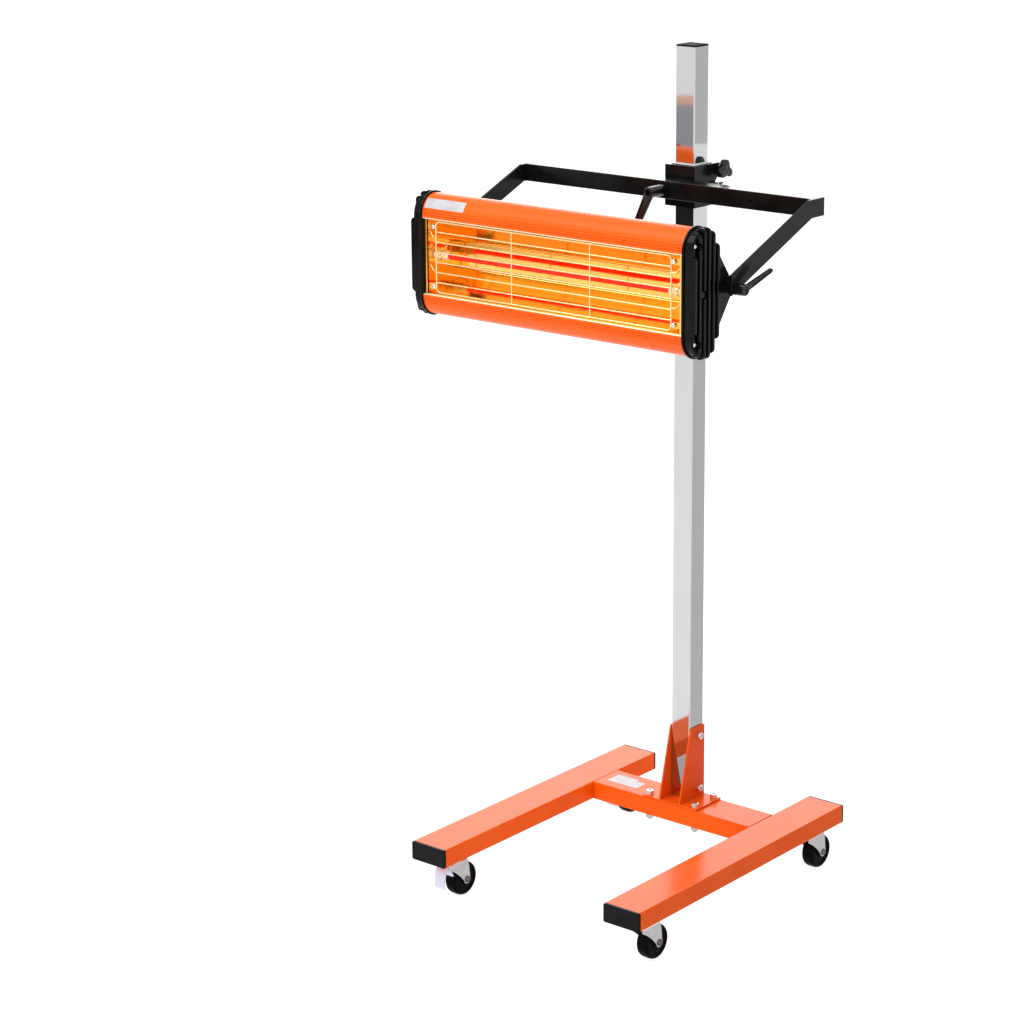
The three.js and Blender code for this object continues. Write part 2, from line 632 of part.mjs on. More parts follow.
// The pedal's tread reaches forward from the pin, and its shoe hangs below the pin ahead of the wheel
function makeBrakePedal() {
  const half = PEDAL_WIDTH / 2;
  const forkOutside = WHEEL_WIDTH / 2 + FORK_SIDE_GAP + FORK_THICKNESS;
  const tread = polygon([
    [0, 4.2], [-9, 3], [-15.5, -6], [-18, -24], [-15.5, -25], [-13, -9], [-7.5, -1.5], [0, 0],
  ]);
  const shoe = polygon([[-2, 0], [-2, -4], [6, -17], [9, -15.5], [3, -2], [3, 0]]);
  const barrel = rod(TO_X, PEDAL_BARREL_RADIUS, -half, half, 12);
  const pin = rod(TO_X, PEDAL_PIN_RADIUS, -forkOutside, forkOutside, 8);
  const pedal = join(barrel, pin, alongX(tread, -half, half), alongX(shoe, -half, half));
  return pedal.translate(0, PEDAL_PIN_Y, PEDAL_PIN_Z);
}

// The carriage: a split sleeve on a nylon liner, pinched behind the column by a screw and by the knob

function makeSleeve() {
  const halfWidth = CARRIAGE_WIDTH / 2;
  const halfHeight = CARRIAGE_HEIGHT / 2;
  const body = block(-halfWidth, halfWidth, -CARRIAGE_FRONT, CARRIAGE_REAR, -halfHeight, halfHeight);
  const lug = polygon([
    [CARRIAGE_REAR - 1, halfHeight],
    [CARRIAGE_REAR - 1, halfHeight - LUG_TOP_DEPTH - LUG_SLANT],
    [LUG_REAR, halfHeight - LUG_TOP_DEPTH],
    [LUG_REAR, halfHeight],
  ]);
  const ears = block(-EAR_WIDTH / 2, EAR_WIDTH / 2, CARRIAGE_REAR - 1, LUG_REAR, EAR_LOW, halfHeight);
  const bore = block(
    -SLEEVE_INSIDE, SLEEVE_INSIDE, -SLEEVE_INSIDE, SLEEVE_INSIDE, -halfHeight - 1, halfHeight + 1,
  );
  const slit = block(-SLIT_WIDTH / 2, SLIT_WIDTH / 2, 0, LUG_REAR + 1, -halfHeight - 1, halfHeight + 1);
  const knobHole = rod(TO_X, BOLT_RADIUS + FIT, -halfWidth - 1, halfWidth + 1, 16);
  const pinchHole = rod(TO_X, PINCH_RADIUS + FIT, -halfWidth - 1, halfWidth + 1, 16);
  const rollHole = rod(TO_Y, ROLL_STUD_RADIUS + FIT, -CARRIAGE_FRONT - 1, 0, 20);
  return cut(
    join(body, alongX(lug, -halfWidth, halfWidth), ears),
    bore,
    slit,
    knobHole.translate(0, KNOB_AXIS_Y, KNOB_AXIS_Z),
    pinchHole.translate(0, KNOB_AXIS_Y, PINCH_AXIS_Z),
    rollHole,
  );
}

function makeLiner() {
  const halfHeight = CARRIAGE_HEIGHT / 2;
  const outside = LINER_INSIDE + LINER_THICKNESS;
  const rim = outside + LINER_FLANGE;
  const low = -halfHeight;
  const seat = halfHeight + GAP;
  const wall = block(-outside, outside, -outside, outside, low, seat + 1);
  const flange = block(-rim, rim, -rim, rim, seat, seat + LINER_RIM);
  const bore = block(
    -LINER_INSIDE, LINER_INSIDE, -LINER_INSIDE, LINER_INSIDE, low - 1, seat + LINER_RIM + 1,
  );
  return cut(join(wall, flange), bore);
}

// The pinch bolt across the lower ears, with its nut and with a stack of washers under its head
function makePinchBolt() {
  const side = EAR_WIDTH / 2 + GAP;
  const stack = side + PINCH_WASHERS * PINCH_WASHER_PITCH;
  const end = -side - PINCH_NUT_HEIGHT - 2;
  const profile = [[0, end], [PINCH_RADIUS, end], [PINCH_RADIUS, side]];
  for (let i = 0; i < PINCH_WASHERS; i += 1) {
    const foot = side + i * PINCH_WASHER_PITCH;
    profile.push(
      [PINCH_WASHER_RADIUS, foot],
      [PINCH_WASHER_RADIUS, foot + PINCH_WASHER_PITCH / 2],
      [PINCH_WASHER_WAIST, foot + PINCH_WASHER_PITCH / 2],
      [PINCH_WASHER_WAIST, foot + PINCH_WASHER_PITCH],
    );
  }
  profile.push([0, stack]);
  const head = hexRod(TO_X, PINCH_FLATS, stack - 0.5, stack + PINCH_HEAD_HEIGHT);
  const nut = hexRod(TO_X, PINCH_FLATS, -side - PINCH_NUT_HEIGHT, -side);
  return join(turned(TO_X, profile, 12), head, nut).translate(0, KNOB_AXIS_Y, PINCH_AXIS_Z);
}

// The knob has three lobes on a round neck and turns on a bolt through both lugs
function makeKnob() {
  const seat = CARRIAGE_WIDTH / 2 + GAP;
  const steps = 24;
  const outline = [];
  for (let i = 0; i < steps; i += 1) {
    const angle = (2 * Math.PI * i) / steps;
    const radius = KNOB_RADIUS - KNOB_BEVEL + KNOB_LOBE * Math.cos(KNOB_LOBES * (angle - KNOB_TURN));
    outline.push([radius * Math.cos(angle), radius * Math.sin(angle)]);
  }
  const grip = new THREE.ExtrudeGeometry(polygon(outline), {
    depth: KNOB_THICKNESS - 2 * KNOB_BEVEL,
    bevelEnabled: true,
    bevelThickness: KNOB_BEVEL,
    bevelSize: KNOB_BEVEL,
    bevelSegments: 1,
  });
  grip.rotateX(Math.PI / 2).rotateZ(Math.PI / 2).translate(seat + KNOB_NECK_LENGTH + KNOB_BEVEL, 0, 0);
  const neck = rod(TO_X, KNOB_NECK_RADIUS, seat, seat + KNOB_NECK_LENGTH + 1, 20);
  const bore = rod(TO_X, BOLT_RADIUS + FIT, seat - 1, seat + KNOB_NECK_LENGTH, 16);
  return cut(join(grip, neck), bore);
}

function makeKnobBolt() {
  const side = CARRIAGE_WIDTH / 2 + GAP;
  const shank = rod(TO_X, BOLT_RADIUS, -side - 1, side + KNOB_NECK_LENGTH - GAP, 16);
  return join(shank, hexRod(TO_X, NUT_FLATS, -side - NUT_HEIGHT, -side));
}

function makeRollBush() {
  return turnedRing(TO_Y, [
    [ROLL_STUD_RADIUS + FIT, -CROSSBAR_BACK + GAP],
    [ROLL_BUSH_RADIUS, -CROSSBAR_BACK + GAP],
    [ROLL_BUSH_RADIUS, -CARRIAGE_FRONT - GAP],
    [ROLL_STUD_RADIUS + FIT, -CARRIAGE_FRONT - GAP],
  ], 20);
}

// The yoke: a square cross tube with a cranked flat arm at each end

function makeCrossbar() {
  const half = ARM_INSIDE - GAP;
  const shape = tubeShape(CROSSBAR_SIZE, CROSSBAR_SIZE, CROSSBAR_CORNER, CROSSBAR_WALL);
  const tube = alongX(shape, -half, half, 2).translate(0, -CROSSBAR_BACK - CROSSBAR_SIZE / 2, 0);
  const front = -CROSSBAR_BACK - CROSSBAR_SIZE;
  const rollHole = rod(TO_Y, ROLL_STUD_RADIUS + FIT, front - 1, -CROSSBAR_BACK + 1, 20);
  const smallHole = rod(TO_Y, CROSSBAR_HOLE_RADIUS, front - 1, front + CROSSBAR_WALL + 1, 12);
  return cut(tube, rollHole, smallHole.translate(CROSSBAR_HOLE_X, 0, 0));
}

function makeArm() {
  const half = ARM_WIDTH / 2;
  const mitre = half * Math.tan(ARM_SLOPE / 2);
  const fall = Math.tan(ARM_SLOPE);
  const upperBend = -ARM_BEND_AHEAD - mitre;
  const lowerBend = -ARM_BEND_AHEAD + mitre;
  const outline = polygon([
    [-CROSSBAR_BACK, half],
    [upperBend, half],
    [-ARM_FRONT_AHEAD, half - (ARM_FRONT_AHEAD + upperBend) * fall],
    [-ARM_FRONT_AHEAD, -half - (ARM_FRONT_AHEAD + lowerBend) * fall],
    [lowerBend, -half],
    [-CROSSBAR_BACK, -half],
  ]);
  const eye = rod(TO_X, ARM_EYE_RADIUS, ARM_INSIDE, ARM_OUTSIDE, 24).translate(0, -PIVOT_AHEAD, -PIVOT_DROP);
  const hole = rod(TO_X, TILT_STUD_RADIUS + FIT, ARM_INSIDE - 1, ARM_OUTSIDE + 1, 20);
  return cut(
    join(alongX(outline, ARM_INSIDE, ARM_OUTSIDE), eye),
    hole.translate(0, -PIVOT_AHEAD, -PIVOT_DROP),
  );
}

// A clamping lever stands on its collar at distance 0 and turns about +Z, with its handle along +X.
// The hub rides on the stud's insert and lifts off it against the small screw in its top.

function insertTop(hubLength, recess) {
  const above = recess + HUB_SCREW_HEAD_HEIGHT + HUB_WEB + 2 * (LEVER_LIFT + GAP);
  return GAP + COLLAR_HEIGHT + GAP + hubLength - above;
}

function makeLeverStud(studRadius, studLength, hubLength, recess) {
  const collarTop = GAP + COLLAR_HEIGHT;
  const top = insertTop(hubLength, recess);
  const headUnder = top + HUB_WEB + 2 * (LEVER_LIFT + GAP);
  return turned(TO_Z, [
    [0, -studLength],
    [studRadius, -studLength],
    [studRadius, GAP],
    [COLLAR_RADIUS, GAP],
    [COLLAR_RADIUS, collarTop],
    [INSERT_RADIUS, collarTop],
    [INSERT_RADIUS, top],
    [HUB_SCREW_RADIUS, top],
    [HUB_SCREW_RADIUS, headUnder],
    [HUB_SCREW_HEAD_RADIUS, headUnder],
    [HUB_SCREW_HEAD_RADIUS, headUnder + HUB_SCREW_HEAD_HEIGHT],
    [0, headUnder + HUB_SCREW_HEAD_HEIGHT],
  ], 14);
}

function makeLeverHandle(hubLength, recess, [rootWidth, tipWidth]) {
  const base = GAP + COLLAR_HEIGHT + GAP;
  const hubTop = base + hubLength;
  const webUnder = insertTop(hubLength, recess) + LEVER_LIFT + GAP;
  const hub = turned(TO_Z, [
    [0, base],
    [HUB_BASE_RADIUS, base],
    [HUB_RADIUS, hubTop - 1.5],
    [HUB_RADIUS - 1.5, hubTop],
    [0, hubTop],
  ], 20);
  const tipX = HANDLE_REACH - tipWidth / 2;
  const grip = new THREE.Shape();
  grip.moveTo(0, rootWidth / 2);
  grip.lineTo(0, -rootWidth / 2);
  grip.lineTo(tipX, -tipWidth / 2);
  grip.absarc(tipX, 0, tipWidth / 2, -Math.PI / 2, Math.PI / 2);
  const bar = extruded(grip, -HANDLE_THICKNESS, 0, 6).rotateY(-HANDLE_RISE).translate(0, 0, hubTop - 1);
  const trimmed = cut(bar, block(-HUB_RADIUS, HUB_RADIUS - 4, -HUB_RADIUS, HUB_RADIUS, hubTop, hubTop + 20));
  return cut(
    join(hub, trimmed),
    rod(TO_Z, INSERT_RADIUS + FIT, base - 1, webUnder, 14),
    rod(TO_Z, HUB_SCREW_RADIUS + FIT, base, hubTop + 1, 12),
    rod(TO_Z, HUB_SCREW_HEAD_RADIUS + FIT, webUnder + HUB_WEB, hubTop + 5, 14),
  );
}

// A lever's group, turned so that its axis points along one direction and its handle along another
function addLeverGroup(parent, x, y, z, axis, handle) {
  const group = addGroup(parent, x, y, z);
  const across = new THREE.Vector3().crossVectors(axis, handle);
  group.quaternion.setFromRotationMatrix(new THREE.Matrix4().makeBasis(handle, across, axis));
  return group;
}

// The head's section: straight front and back, with half an ellipse above and below

function sectionArc(halfDepth, rise, sign) {
  const points = [];
  for (let i = 0; i <= 2 * ARC_STEPS; i += 1) {
    const angle = Math.PI - (Math.PI * i) / (2 * ARC_STEPS);
    points.push([halfDepth * Math.cos(angle), sign * (MOUTH_HALF + rise * Math.sin(angle))]);
  }
  return points;
}

function sectionOutline(grow) {
  const top = sectionArc(ARC_DEPTH + grow, ARC_RISE + grow, 1);
  const bottom = sectionArc(ARC_DEPTH + grow, ARC_RISE + grow, -1);
  return [...top, ...bottom.reverse()];
}

function sectionHeight(y) {
  return MOUTH_HALF + ARC_RISE * Math.sqrt(Math.max(0, 1 - (y / ARC_DEPTH) ** 2));
}

function makeHousing() {
  const outer = sectionOutline(0);
  const inner = sectionOutline(-HEAD_WALL);
  const wall = polygon([...outer, ...inner.reverse()]);
  const parts = [alongX(wall, -HEAD_HALF, HEAD_HALF)];
  const tools = [];
  for (const sign of [-1, 1]) {
    const lip = [sign * (MOUTH_HALF - LIP_RETURN), sign * (MOUTH_HALF + 1)].sort((a, b) => a - b);
    parts.push(block(-HEAD_HALF, HEAD_HALF, -ARC_DEPTH, -ARC_DEPTH + LIP_DEPTH, lip[0], lip[1]));
    const web = [sign * CHANNEL_Z, sign * (sectionHeight(CHANNEL_Y) - HEAD_WALL / 2)].sort((a, b) => a - b);
    parts.push(block(-HEAD_HALF, HEAD_HALF, CHANNEL_Y - 1, CHANNEL_Y + 1, web[0], web[1]));
    parts.push(rod(TO_X, CHANNEL_RADIUS, -HEAD_HALF, HEAD_HALF, 12).translate(0, CHANNEL_Y, sign * CHANNEL_Z));
    tools.push(rod(TO_X, SCREW_RADIUS + FIT, -HEAD_HALF - 1, HEAD_HALF + 1, 10)
      .translate(0, CHANNEL_Y, sign * CHANNEL_Z));
    for (const x of [-EAR_SCREW_X, EAR_SCREW_X]) {
      tools.push(rod(TO_Y, EAR_SCREW_RADIUS + FIT, ARC_DEPTH - HEAD_WALL - 1, ARC_DEPTH + 1, 12)
        .translate(x, 0, sign * EAR_SCREW_Z));
    }
  }
  tools.push(rod(TO_Y, WIRE_HOLE_RADIUS, ARC_DEPTH - HEAD_WALL - 1, ARC_DEPTH + 1, 16));
  return cut(join(...parts), ...tools);
}

const capScrewPlaces = [
  { y: CHANNEL_Y, z: CHANNEL_Z, boss: 0 },
  { y: CHANNEL_Y, z: -CHANNEL_Z, boss: 0 },
  { y: LAMP_Y, z: 0, boss: CAP_MID_BOSS },
];

// The cap for the +X end: a rim proud of the housing, a hollow body, upright ribs on its outside and the
// screws that hold it, two in the housing's channels and one in the lamp holder
function makeEndCap() {
  const rim = alongX(polygon(sectionOutline(CAP_RIM)), CAP_INNER, CAP_INNER + CAP_RIM_THICKNESS);
  const body = alongX(polygon(sectionOutline(0)), CAP_INNER, RIB_FOOT);
  const hollow = alongX(polygon(sectionOutline(-CAP_WALL)), CAP_INNER - 1, RIB_FOOT - CAP_WALL);
  const parts = [cut(join(rim, body), hollow)];
  for (let i = 0; i < RIB_COUNT; i += 1) {
    const y0 = -ARC_DEPTH + (i * (HEAD_DEPTH - RIB_THICKNESS)) / (RIB_COUNT - 1);
    const y1 = y0 + RIB_THICKNESS;
    const height = sectionHeight(RIB_FULLNESS * Math.max(Math.abs(y0), Math.abs(y1))) + CAP_RIM;
    const rib = roundedRectangle(2 * RIB_HEIGHT, 2 * height, RIB_CORNER);
    const whole = alongY(rib, y0, y1, 2).translate(RIB_FOOT, 0, 0);
    const inner = block(
      RIB_FOOT - 2 * RIB_HEIGHT, RIB_FOOT - 1, y0 - 1, y1 + 1, -height - 1, height + 1,
    );
    parts.push(cut(whole, inner));
  }
  const tools = [];
  const bosses = [];
  for (const { y, z, boss } of capScrewPlaces) {
    tools.push(rod(TO_X, CAP_POCKET_RADIUS, RIB_FOOT, RIB_FOOT + RIB_HEIGHT + 1, 12).translate(0, y, z));
    bosses.push(rod(TO_X, CAP_BOSS_RADIUS, CAP_INNER, RIB_FOOT + boss, 12).translate(0, y, z));
    bosses.push(panScrew(TO_X, SCREW_RADIUS, SCREW_HEAD_RADIUS, CAP_SCREW_LENGTH)
      .translate(RIB_FOOT + boss - 0.1, y, z));
  }
  const vents = [-CAP_VENT_Z, CAP_VENT_Z]
    .map((z) => rod(TO_Y, CAP_VENT_RADIUS, -ARC_DEPTH - CAP_RIM - 1, -ARC_DEPTH + 3, 10)
      .translate(CAP_INNER + CAP_BODY / 2, 0, z));
  const earHalf = EAR_ROOT_HEIGHT / 2 + 1;
  const earNotch = block(CAP_INNER - 1, RIB_FOOT + 1, ARC_DEPTH, ARC_DEPTH + CAP_RIM + 1, -earHalf, earHalf);
  const shell = cut(join(...parts), ...tools);
  return cut(join(shell, ...bosses), ...vents, earNotch);
}

// A pan-head screw whose head sits past distance 0 along a direction
function panScrew(direction, radius, headRadius, length) {
  return turned(direction, [
    [0, -length],
    [radius, -length],
    [radius, 0],
    [headRadius, 0],
    [headRadius, SCREW_HEAD_HEIGHT / 2],
    [headRadius / 2, SCREW_HEAD_HEIGHT],
    [0, SCREW_HEAD_HEIGHT],
  ], 10);
}

// The reflector is a parabola in Y and Z, from its vertex at the back to the edges of the mouth
const reflectorFront = -ARC_DEPTH + LIP_DEPTH + GAP + REFLECTOR_THICKNESS;
const reflectorHalf = REFLECTOR_MOUTH / 2;
const reflectorSpread = reflectorHalf ** 2 / (REFLECTOR_BACK - reflectorFront + REFLECTOR_THICKNESS / 2);

function reflectorLine(offset) {
  const points = [];
  for (let i = -REFLECTOR_STEPS; i <= REFLECTOR_STEPS; i += 1) {
    const z = (reflectorHalf * i) / REFLECTOR_STEPS;
    const slope = (2 * z) / reflectorSpread;
    const length = Math.hypot(1, slope);
    points.push([REFLECTOR_BACK - z ** 2 / reflectorSpread + offset / length, z + (offset * slope) / length]);
  }
  return points;
}

// The trough with an upright plate at each end, and the tabs on the plates that take the grille's screws
function makeReflector() {
  const half = REFLECTOR_LENGTH / 2;
  const reach = half + END_PLATE_THICKNESS / 2;
  const trough = polygon([...reflectorLine(0), ...reflectorLine(REFLECTOR_THICKNESS).reverse()]);
  const parts = [alongX(trough, -reach, reach)];
  for (const sign of [-1, 1]) {
    const edge = [sign * (reflectorHalf - 0.5), sign * (reflectorHalf + REFLECTOR_FLANGE)];
    edge.sort((a, b) => a - b);
    parts.push(block(-half, half, reflectorFront - REFLECTOR_THICKNESS, reflectorFront, edge[0], edge[1]));
  }
  const plate = alongX(polygon(reflectorLine(END_PLATE_MARGIN)), half, half + END_PLATE_THICKNESS);
  const endParts = [plate];
  const tools = [rod(TO_X, SCREW_RADIUS + FIT, half - 1, half + END_PLATE_THICKNESS + 1, 12)
    .translate(0, LAMP_Y, 0)];
  const tabFront = GRILLE_Y + GRILLE_FRAME_RADIUS + GAP;
  for (const z of [-GRILLE_SCREW_Z, GRILLE_SCREW_Z]) {
    endParts.push(block(
      GRILLE_SCREW_X - TAB_WIDTH / 2, half + 1, tabFront, tabFront + END_PLATE_THICKNESS,
      z - TAB_WIDTH / 2, z + TAB_WIDTH / 2,
    ));
    tools.push(rod(TO_Y, SCREW_RADIUS + FIT, tabFront - 1, tabFront + END_PLATE_THICKNESS + 1, 12)
      .translate(GRILLE_SCREW_X, 0, z));
  }
  const right = cut(join(...endParts), ...tools);
  return join(...parts, right, mirrored(right));
}

function makeHolder() {
  const back = REFLECTOR_LENGTH / 2 - GAP;
  const front = back - HOLDER_LENGTH;
  const holder = cut(
    rod(TO_X, HOLDER_RADIUS, front, back, 12),
    rod(TO_X, TUBE_RADIUS + FIT, front - 1, front + HOLDER_SOCKET, 20),
    rod(TO_X, SCREW_RADIUS + FIT, front + HOLDER_SOCKET + 4, back + 1, 12),
  );
  return holder.translate(0, LAMP_Y, 0);
}

function makeTube() {
  const ring = turnedRing(TO_X, [
    [TUBE_RADIUS - TUBE_WALL, -TUBE_HALF],
    [TUBE_RADIUS, -TUBE_HALF],
    [TUBE_RADIUS, TUBE_HALF],
    [TUBE_RADIUS - TUBE_WALL, TUBE_HALF],
  ], 16);
  return ring.translate(0, LAMP_Y, 0);
}

// The filament runs between two discs that centre it in the tube
function makeFilament() {
  const disc = TUBE_RADIUS - TUBE_WALL - GAP;
  const profile = [
    [0, -TUBE_HALF],
    [disc, -TUBE_HALF],
    [disc, -TUBE_HALF + FILAMENT_DISC],
    [FILAMENT_RADIUS, -TUBE_HALF + FILAMENT_DISC],
    [FILAMENT_RADIUS, TUBE_HALF - FILAMENT_DISC],
    [disc, TUBE_HALF - FILAMENT_DISC],
    [disc, TUBE_HALF],
    [0, TUBE_HALF],
  ];
  return turned(TO_X, profile, 10).translate(0, LAMP_Y, 0);
}

// A closed ring of wire along points in a plane across Y, six-sided
function wireRing(points, radius) {
  const sides = 6;
  const positions = [];
  const indices = [];
  points.forEach(([x, z], i) => {
    const [xa, za] = points[(i + points.length - 1) % points.length];
    const [xb, zb] = points[(i + 1) % points.length];
    const length = Math.hypot(xb - xa, zb - za);
    const out = [(zb - za) / length, (xa - xb) / length];
    for (let j = 0; j < sides; j += 1) {
      const angle = (2 * Math.PI * j) / sides;
      const side = radius * Math.cos(angle);
      positions.push(x + side * out[0], radius * Math.sin(angle), z + side * out[1]);
      const next = ((i + 1) % points.length) * sides;
      const turn = (j + 1) % sides;
      indices.push(i * sides + j, next + turn, next + j, i * sides + j, i * sides + turn, next + turn);
    }
  });
  const geometry = new THREE.BufferGeometry();
  geometry.setAttribute('position', new THREE.Float32BufferAttribute(positions, 3));
  geometry.setIndex(indices);
  return geometry;
}

// The grille's screws clamp its frame under their heads
function makeGrille() {
  const x = GRILLE_WIDTH / 2;
  const z = GRILLE_HEIGHT / 2;
  const corners = roundedRectangle(GRILLE_WIDTH, GRILLE_HEIGHT, GRILLE_CORNER).getPoints(4).slice(0, -1);
  const parts = [wireRing(corners.map((point) => [point.x, point.y]), GRILLE_FRAME_RADIUS)];
  for (const side of [-1, 1]) {
    for (const height of [-GRILLE_SCREW_Z, GRILLE_SCREW_Z]) {
      parts.push(panScrew(TO_FRONT, SCREW_RADIUS, GRILLE_SCREW_HEAD_RADIUS, GRILLE_SCREW_LENGTH)
        .translate(side * GRILLE_SCREW_X, -GRILLE_FRAME_RADIUS + 0.5, height));
    }
  }
  for (let row = 1; row < GRILLE_ROWS; row += 1) {
    const height = -z + (GRILLE_HEIGHT * row) / GRILLE_ROWS;
    parts.push(rod(TO_X, GRILLE_WIRE_RADIUS, -x, x, 4).translate(0, -GRILLE_WIRE_LEAD, height));
  }
  for (let column = 1; column < GRILLE_COLUMNS; column += 1) {
    const across = -x + (GRILLE_WIDTH * column) / GRILLE_COLUMNS;
    parts.push(rod(TO_Z, GRILLE_WIRE_RADIUS, -z, z, 4).translate(across, 0, 0));
  }
  return join(...parts).translate(0, GRILLE_Y, 0);
}

// An ear for the +X end, in the pivot's own frame: a flange screwed to the back of the housing and an
// upright plate that narrows to the pivot's eye, with a weld nut inside and a spacer towards the arm
function makeEar() {
  const root = -HEAD_AHEAD + ARC_DEPTH + GAP;
  const rootHalf = EAR_ROOT_HEIGHT / 2;
  const corner = Math.atan2(rootHalf, root);
  const tangent = corner - Math.acos(EAR_EYE_RADIUS / Math.hypot(root, rootHalf));
  const outline = new THREE.Shape();
  outline.moveTo(root, rootHalf);
  outline.lineTo(root, -rootHalf);
  outline.absarc(0, 0, EAR_EYE_RADIUS, -tangent, tangent);
  const plate = alongX(outline, EAR_INNER_X, EAR_OUTER_X, 8);
  const flange = block(EAR_INNER_X - EAR_FLANGE, EAR_OUTER_X, root, root + EAR_THICKNESS, -rootHalf, rootHalf);
  const weldNut = hexRod(TO_X, NUT_FLATS, EAR_INNER_X - EAR_NUT_HEIGHT, EAR_INNER_X + 1);
  const spacer = rod(TO_X, TILT_SPACER_RADIUS, EAR_OUTER_X - 1, EAR_OUTER_X + TILT_SPACER_LENGTH, 20);
  const hole = rod(TO_X, TILT_STUD_RADIUS + FIT, EAR_INNER_X - EAR_NUT_HEIGHT - 1, ARM_INSIDE, 20);
  const screws = [-EAR_SCREW_Z, EAR_SCREW_Z].map((z) => panScrew(
    TO_Y, EAR_SCREW_RADIUS, SCREW_HEAD_RADIUS, EAR_SCREW_LENGTH,
  ).translate(EAR_SCREW_X, root + EAR_THICKNESS - 0.1, z));
  return join(cut(join(plate, flange, weldNut, spacer), hole), ...screws);
}

// The terminal box opens onto the housing's back; its switch faces the rear and its gland points down

function makeTerminalBox() {
  const back = ARC_DEPTH + GAP;
  const face = back + BOX_DEPTH;
  const outside = alongY(roundedRectangle(BOX_WIDTH, BOX_HEIGHT, BOX_CORNER), back, face, 4);
  const inside = alongY(
    roundedRectangle(BOX_WIDTH - 2 * BOX_WALL, BOX_HEIGHT - 2 * BOX_WALL, BOX_CORNER - BOX_WALL),
    back - 1, face - BOX_WALL, 3,
  );
  const edge = 2 * BEZEL_EDGE;
  const bezel = block(
    SWITCH_X - (SWITCH_WIDTH + edge) / 2, SWITCH_X + (SWITCH_WIDTH + edge) / 2, face - 1, face + BEZEL_HEIGHT,
    -(SWITCH_HEIGHT + edge) / 2, (SWITCH_HEIGHT + edge) / 2,
  );
  const opening = block(
    SWITCH_X - SWITCH_WIDTH / 2, SWITCH_X + SWITCH_WIDTH / 2, face - BOX_WALL - 1, face + BEZEL_HEIGHT + 1,
    -SWITCH_HEIGHT / 2, SWITCH_HEIGHT / 2,
  );
  const glandHole = rod(TO_Z, GLAND_RADIUS + FIT, -BOX_HEIGHT / 2 - 1, -BOX_HEIGHT / 2 + BOX_WALL + 1)
    .translate(GLAND_X, back + BOX_DEPTH / 2, 0);
  return cut(join(cut(outside, inside), bezel), opening, glandHole);
}

// The rocker in its own frame, level, with its pin on the origin and its face towards +Y
function makeRocker() {
  const profile = polygon([
    [-2.5, -8.4], [3.2, -8.4], [1.6, 0], [3.2, 8.4], [-2.5, 8.4], [-5, 3], [-5, -3],
  ]);
  const half = SWITCH_WIDTH / 2;
  const rocker = alongX(profile, -half + GAP, half - GAP);
  return rocker;
}

// The gland is clamped through the bottom wall, between its flange below and its locknut above
function makeGland() {
  const under = -BOX_HEIGHT / 2 - GAP;
  const over = -BOX_HEIGHT / 2 + BOX_WALL + GAP;
  const gland = turnedRing(TO_Z, [
    [GLAND_BORE, under - 18],
    [GLAND_BORE + 2.5, under - 18],
    [GLAND_NUT_RADIUS - 1, under - 13],
    [GLAND_NUT_RADIUS - 1, under - 5],
    [GLAND_NUT_RADIUS, under - 5],
    [GLAND_NUT_RADIUS, under],
    [GLAND_RADIUS, under],
    [GLAND_RADIUS, over],
    [GLAND_NUT_RADIUS, over],
    [GLAND_NUT_RADIUS, over + 4],
    [GLAND_BORE, over + 4],
  ], 16);
  return gland.translate(GLAND_X, ARC_DEPTH + GAP + BOX_DEPTH / 2, 0);
}

// Assembly

addMesh(lamp, 'leg_left', makeLeg(-LEG_SPACING / 2), ORANGE_PAINT);
addMesh(lamp, 'leg_right', makeLeg(LEG_SPACING / 2), ORANGE_PAINT);
addMesh(lamp, 'cross_beam', makeCrossBeam(), ORANGE_PAINT);
addMesh(lamp, 'foot_bracket', makeFootBracket(), ORANGE_PAINT);
addMesh(lamp, 'column_tube', makeColumn(), POLISHED_STEEL);
addMesh(lamp, 'column_cap', makeColumnCap(), BLACK_PLASTIC);
for (const place of baseBoltPlaces) {
  addMesh(lamp, `base_bolt_${place.name}`, makeBaseBolt(place), ZINC);
}
addMesh(lamp, 'column_bolt_lower', makeColumnBolt(COLUMN_BOLT_HEIGHTS[0]), ZINC);
addMesh(lamp, 'column_bolt_upper', makeColumnBolt(COLUMN_BOLT_HEIGHTS[1]), ZINC);

for (const place of castorPlaces) {
  const front = place.name.startsWith('front');
  const legEnd = (front ? -LEG_LENGTH : LEG_LENGTH) / 2;
  const end = addGroup(lamp, place.x, legEnd, CASTOR_HEIGHT + LEG_HEIGHT / 2);
  end.rotation.z = front ? Math.PI : 0;
  addMesh(end, `leg_cap_${place.name}`, makeLegCap(), BLACK_PLASTIC);
  const castor = addGroup(lamp, place.x, place.y, 0);
  addMesh(castor, `castor_race_${place.name}`, makeCastorRace(), ZINC);
  addMesh(castor, `castor_fork_${place.name}`, makeFork(), ZINC);
  addMesh(castor, `castor_wheel_${place.name}`, makeWheel(), TYRE_BLACK);
  if (place.name.endsWith('left')) {
    addMesh(castor, `brake_pedal_${place.name}`, makeBrakePedal(), WHITE_NYLON);
  }
}

const carriage = addGroup(lamp, 0, COLUMN_Y, ROLL_AXIS_Z);
addMesh(carriage, 'carriage_sleeve', makeSleeve(), BLACK_PAINT);
addMesh(carriage, 'glide_liner', makeLiner(), WHITE_NYLON);
addMesh(carriage, 'pinch_bolt', makePinchBolt(), ZINC);
addMesh(carriage, 'roll_bush', makeRollBush(), BLACK_PLASTIC);
const knob = addGroup(carriage, 0, KNOB_AXIS_Y, KNOB_AXIS_Z);
addMesh(knob, 'clamp_knob', makeKnob(), BLACK_PLASTIC);
addMesh(knob, 'knob_bolt', makeKnobBolt(), ZINC);

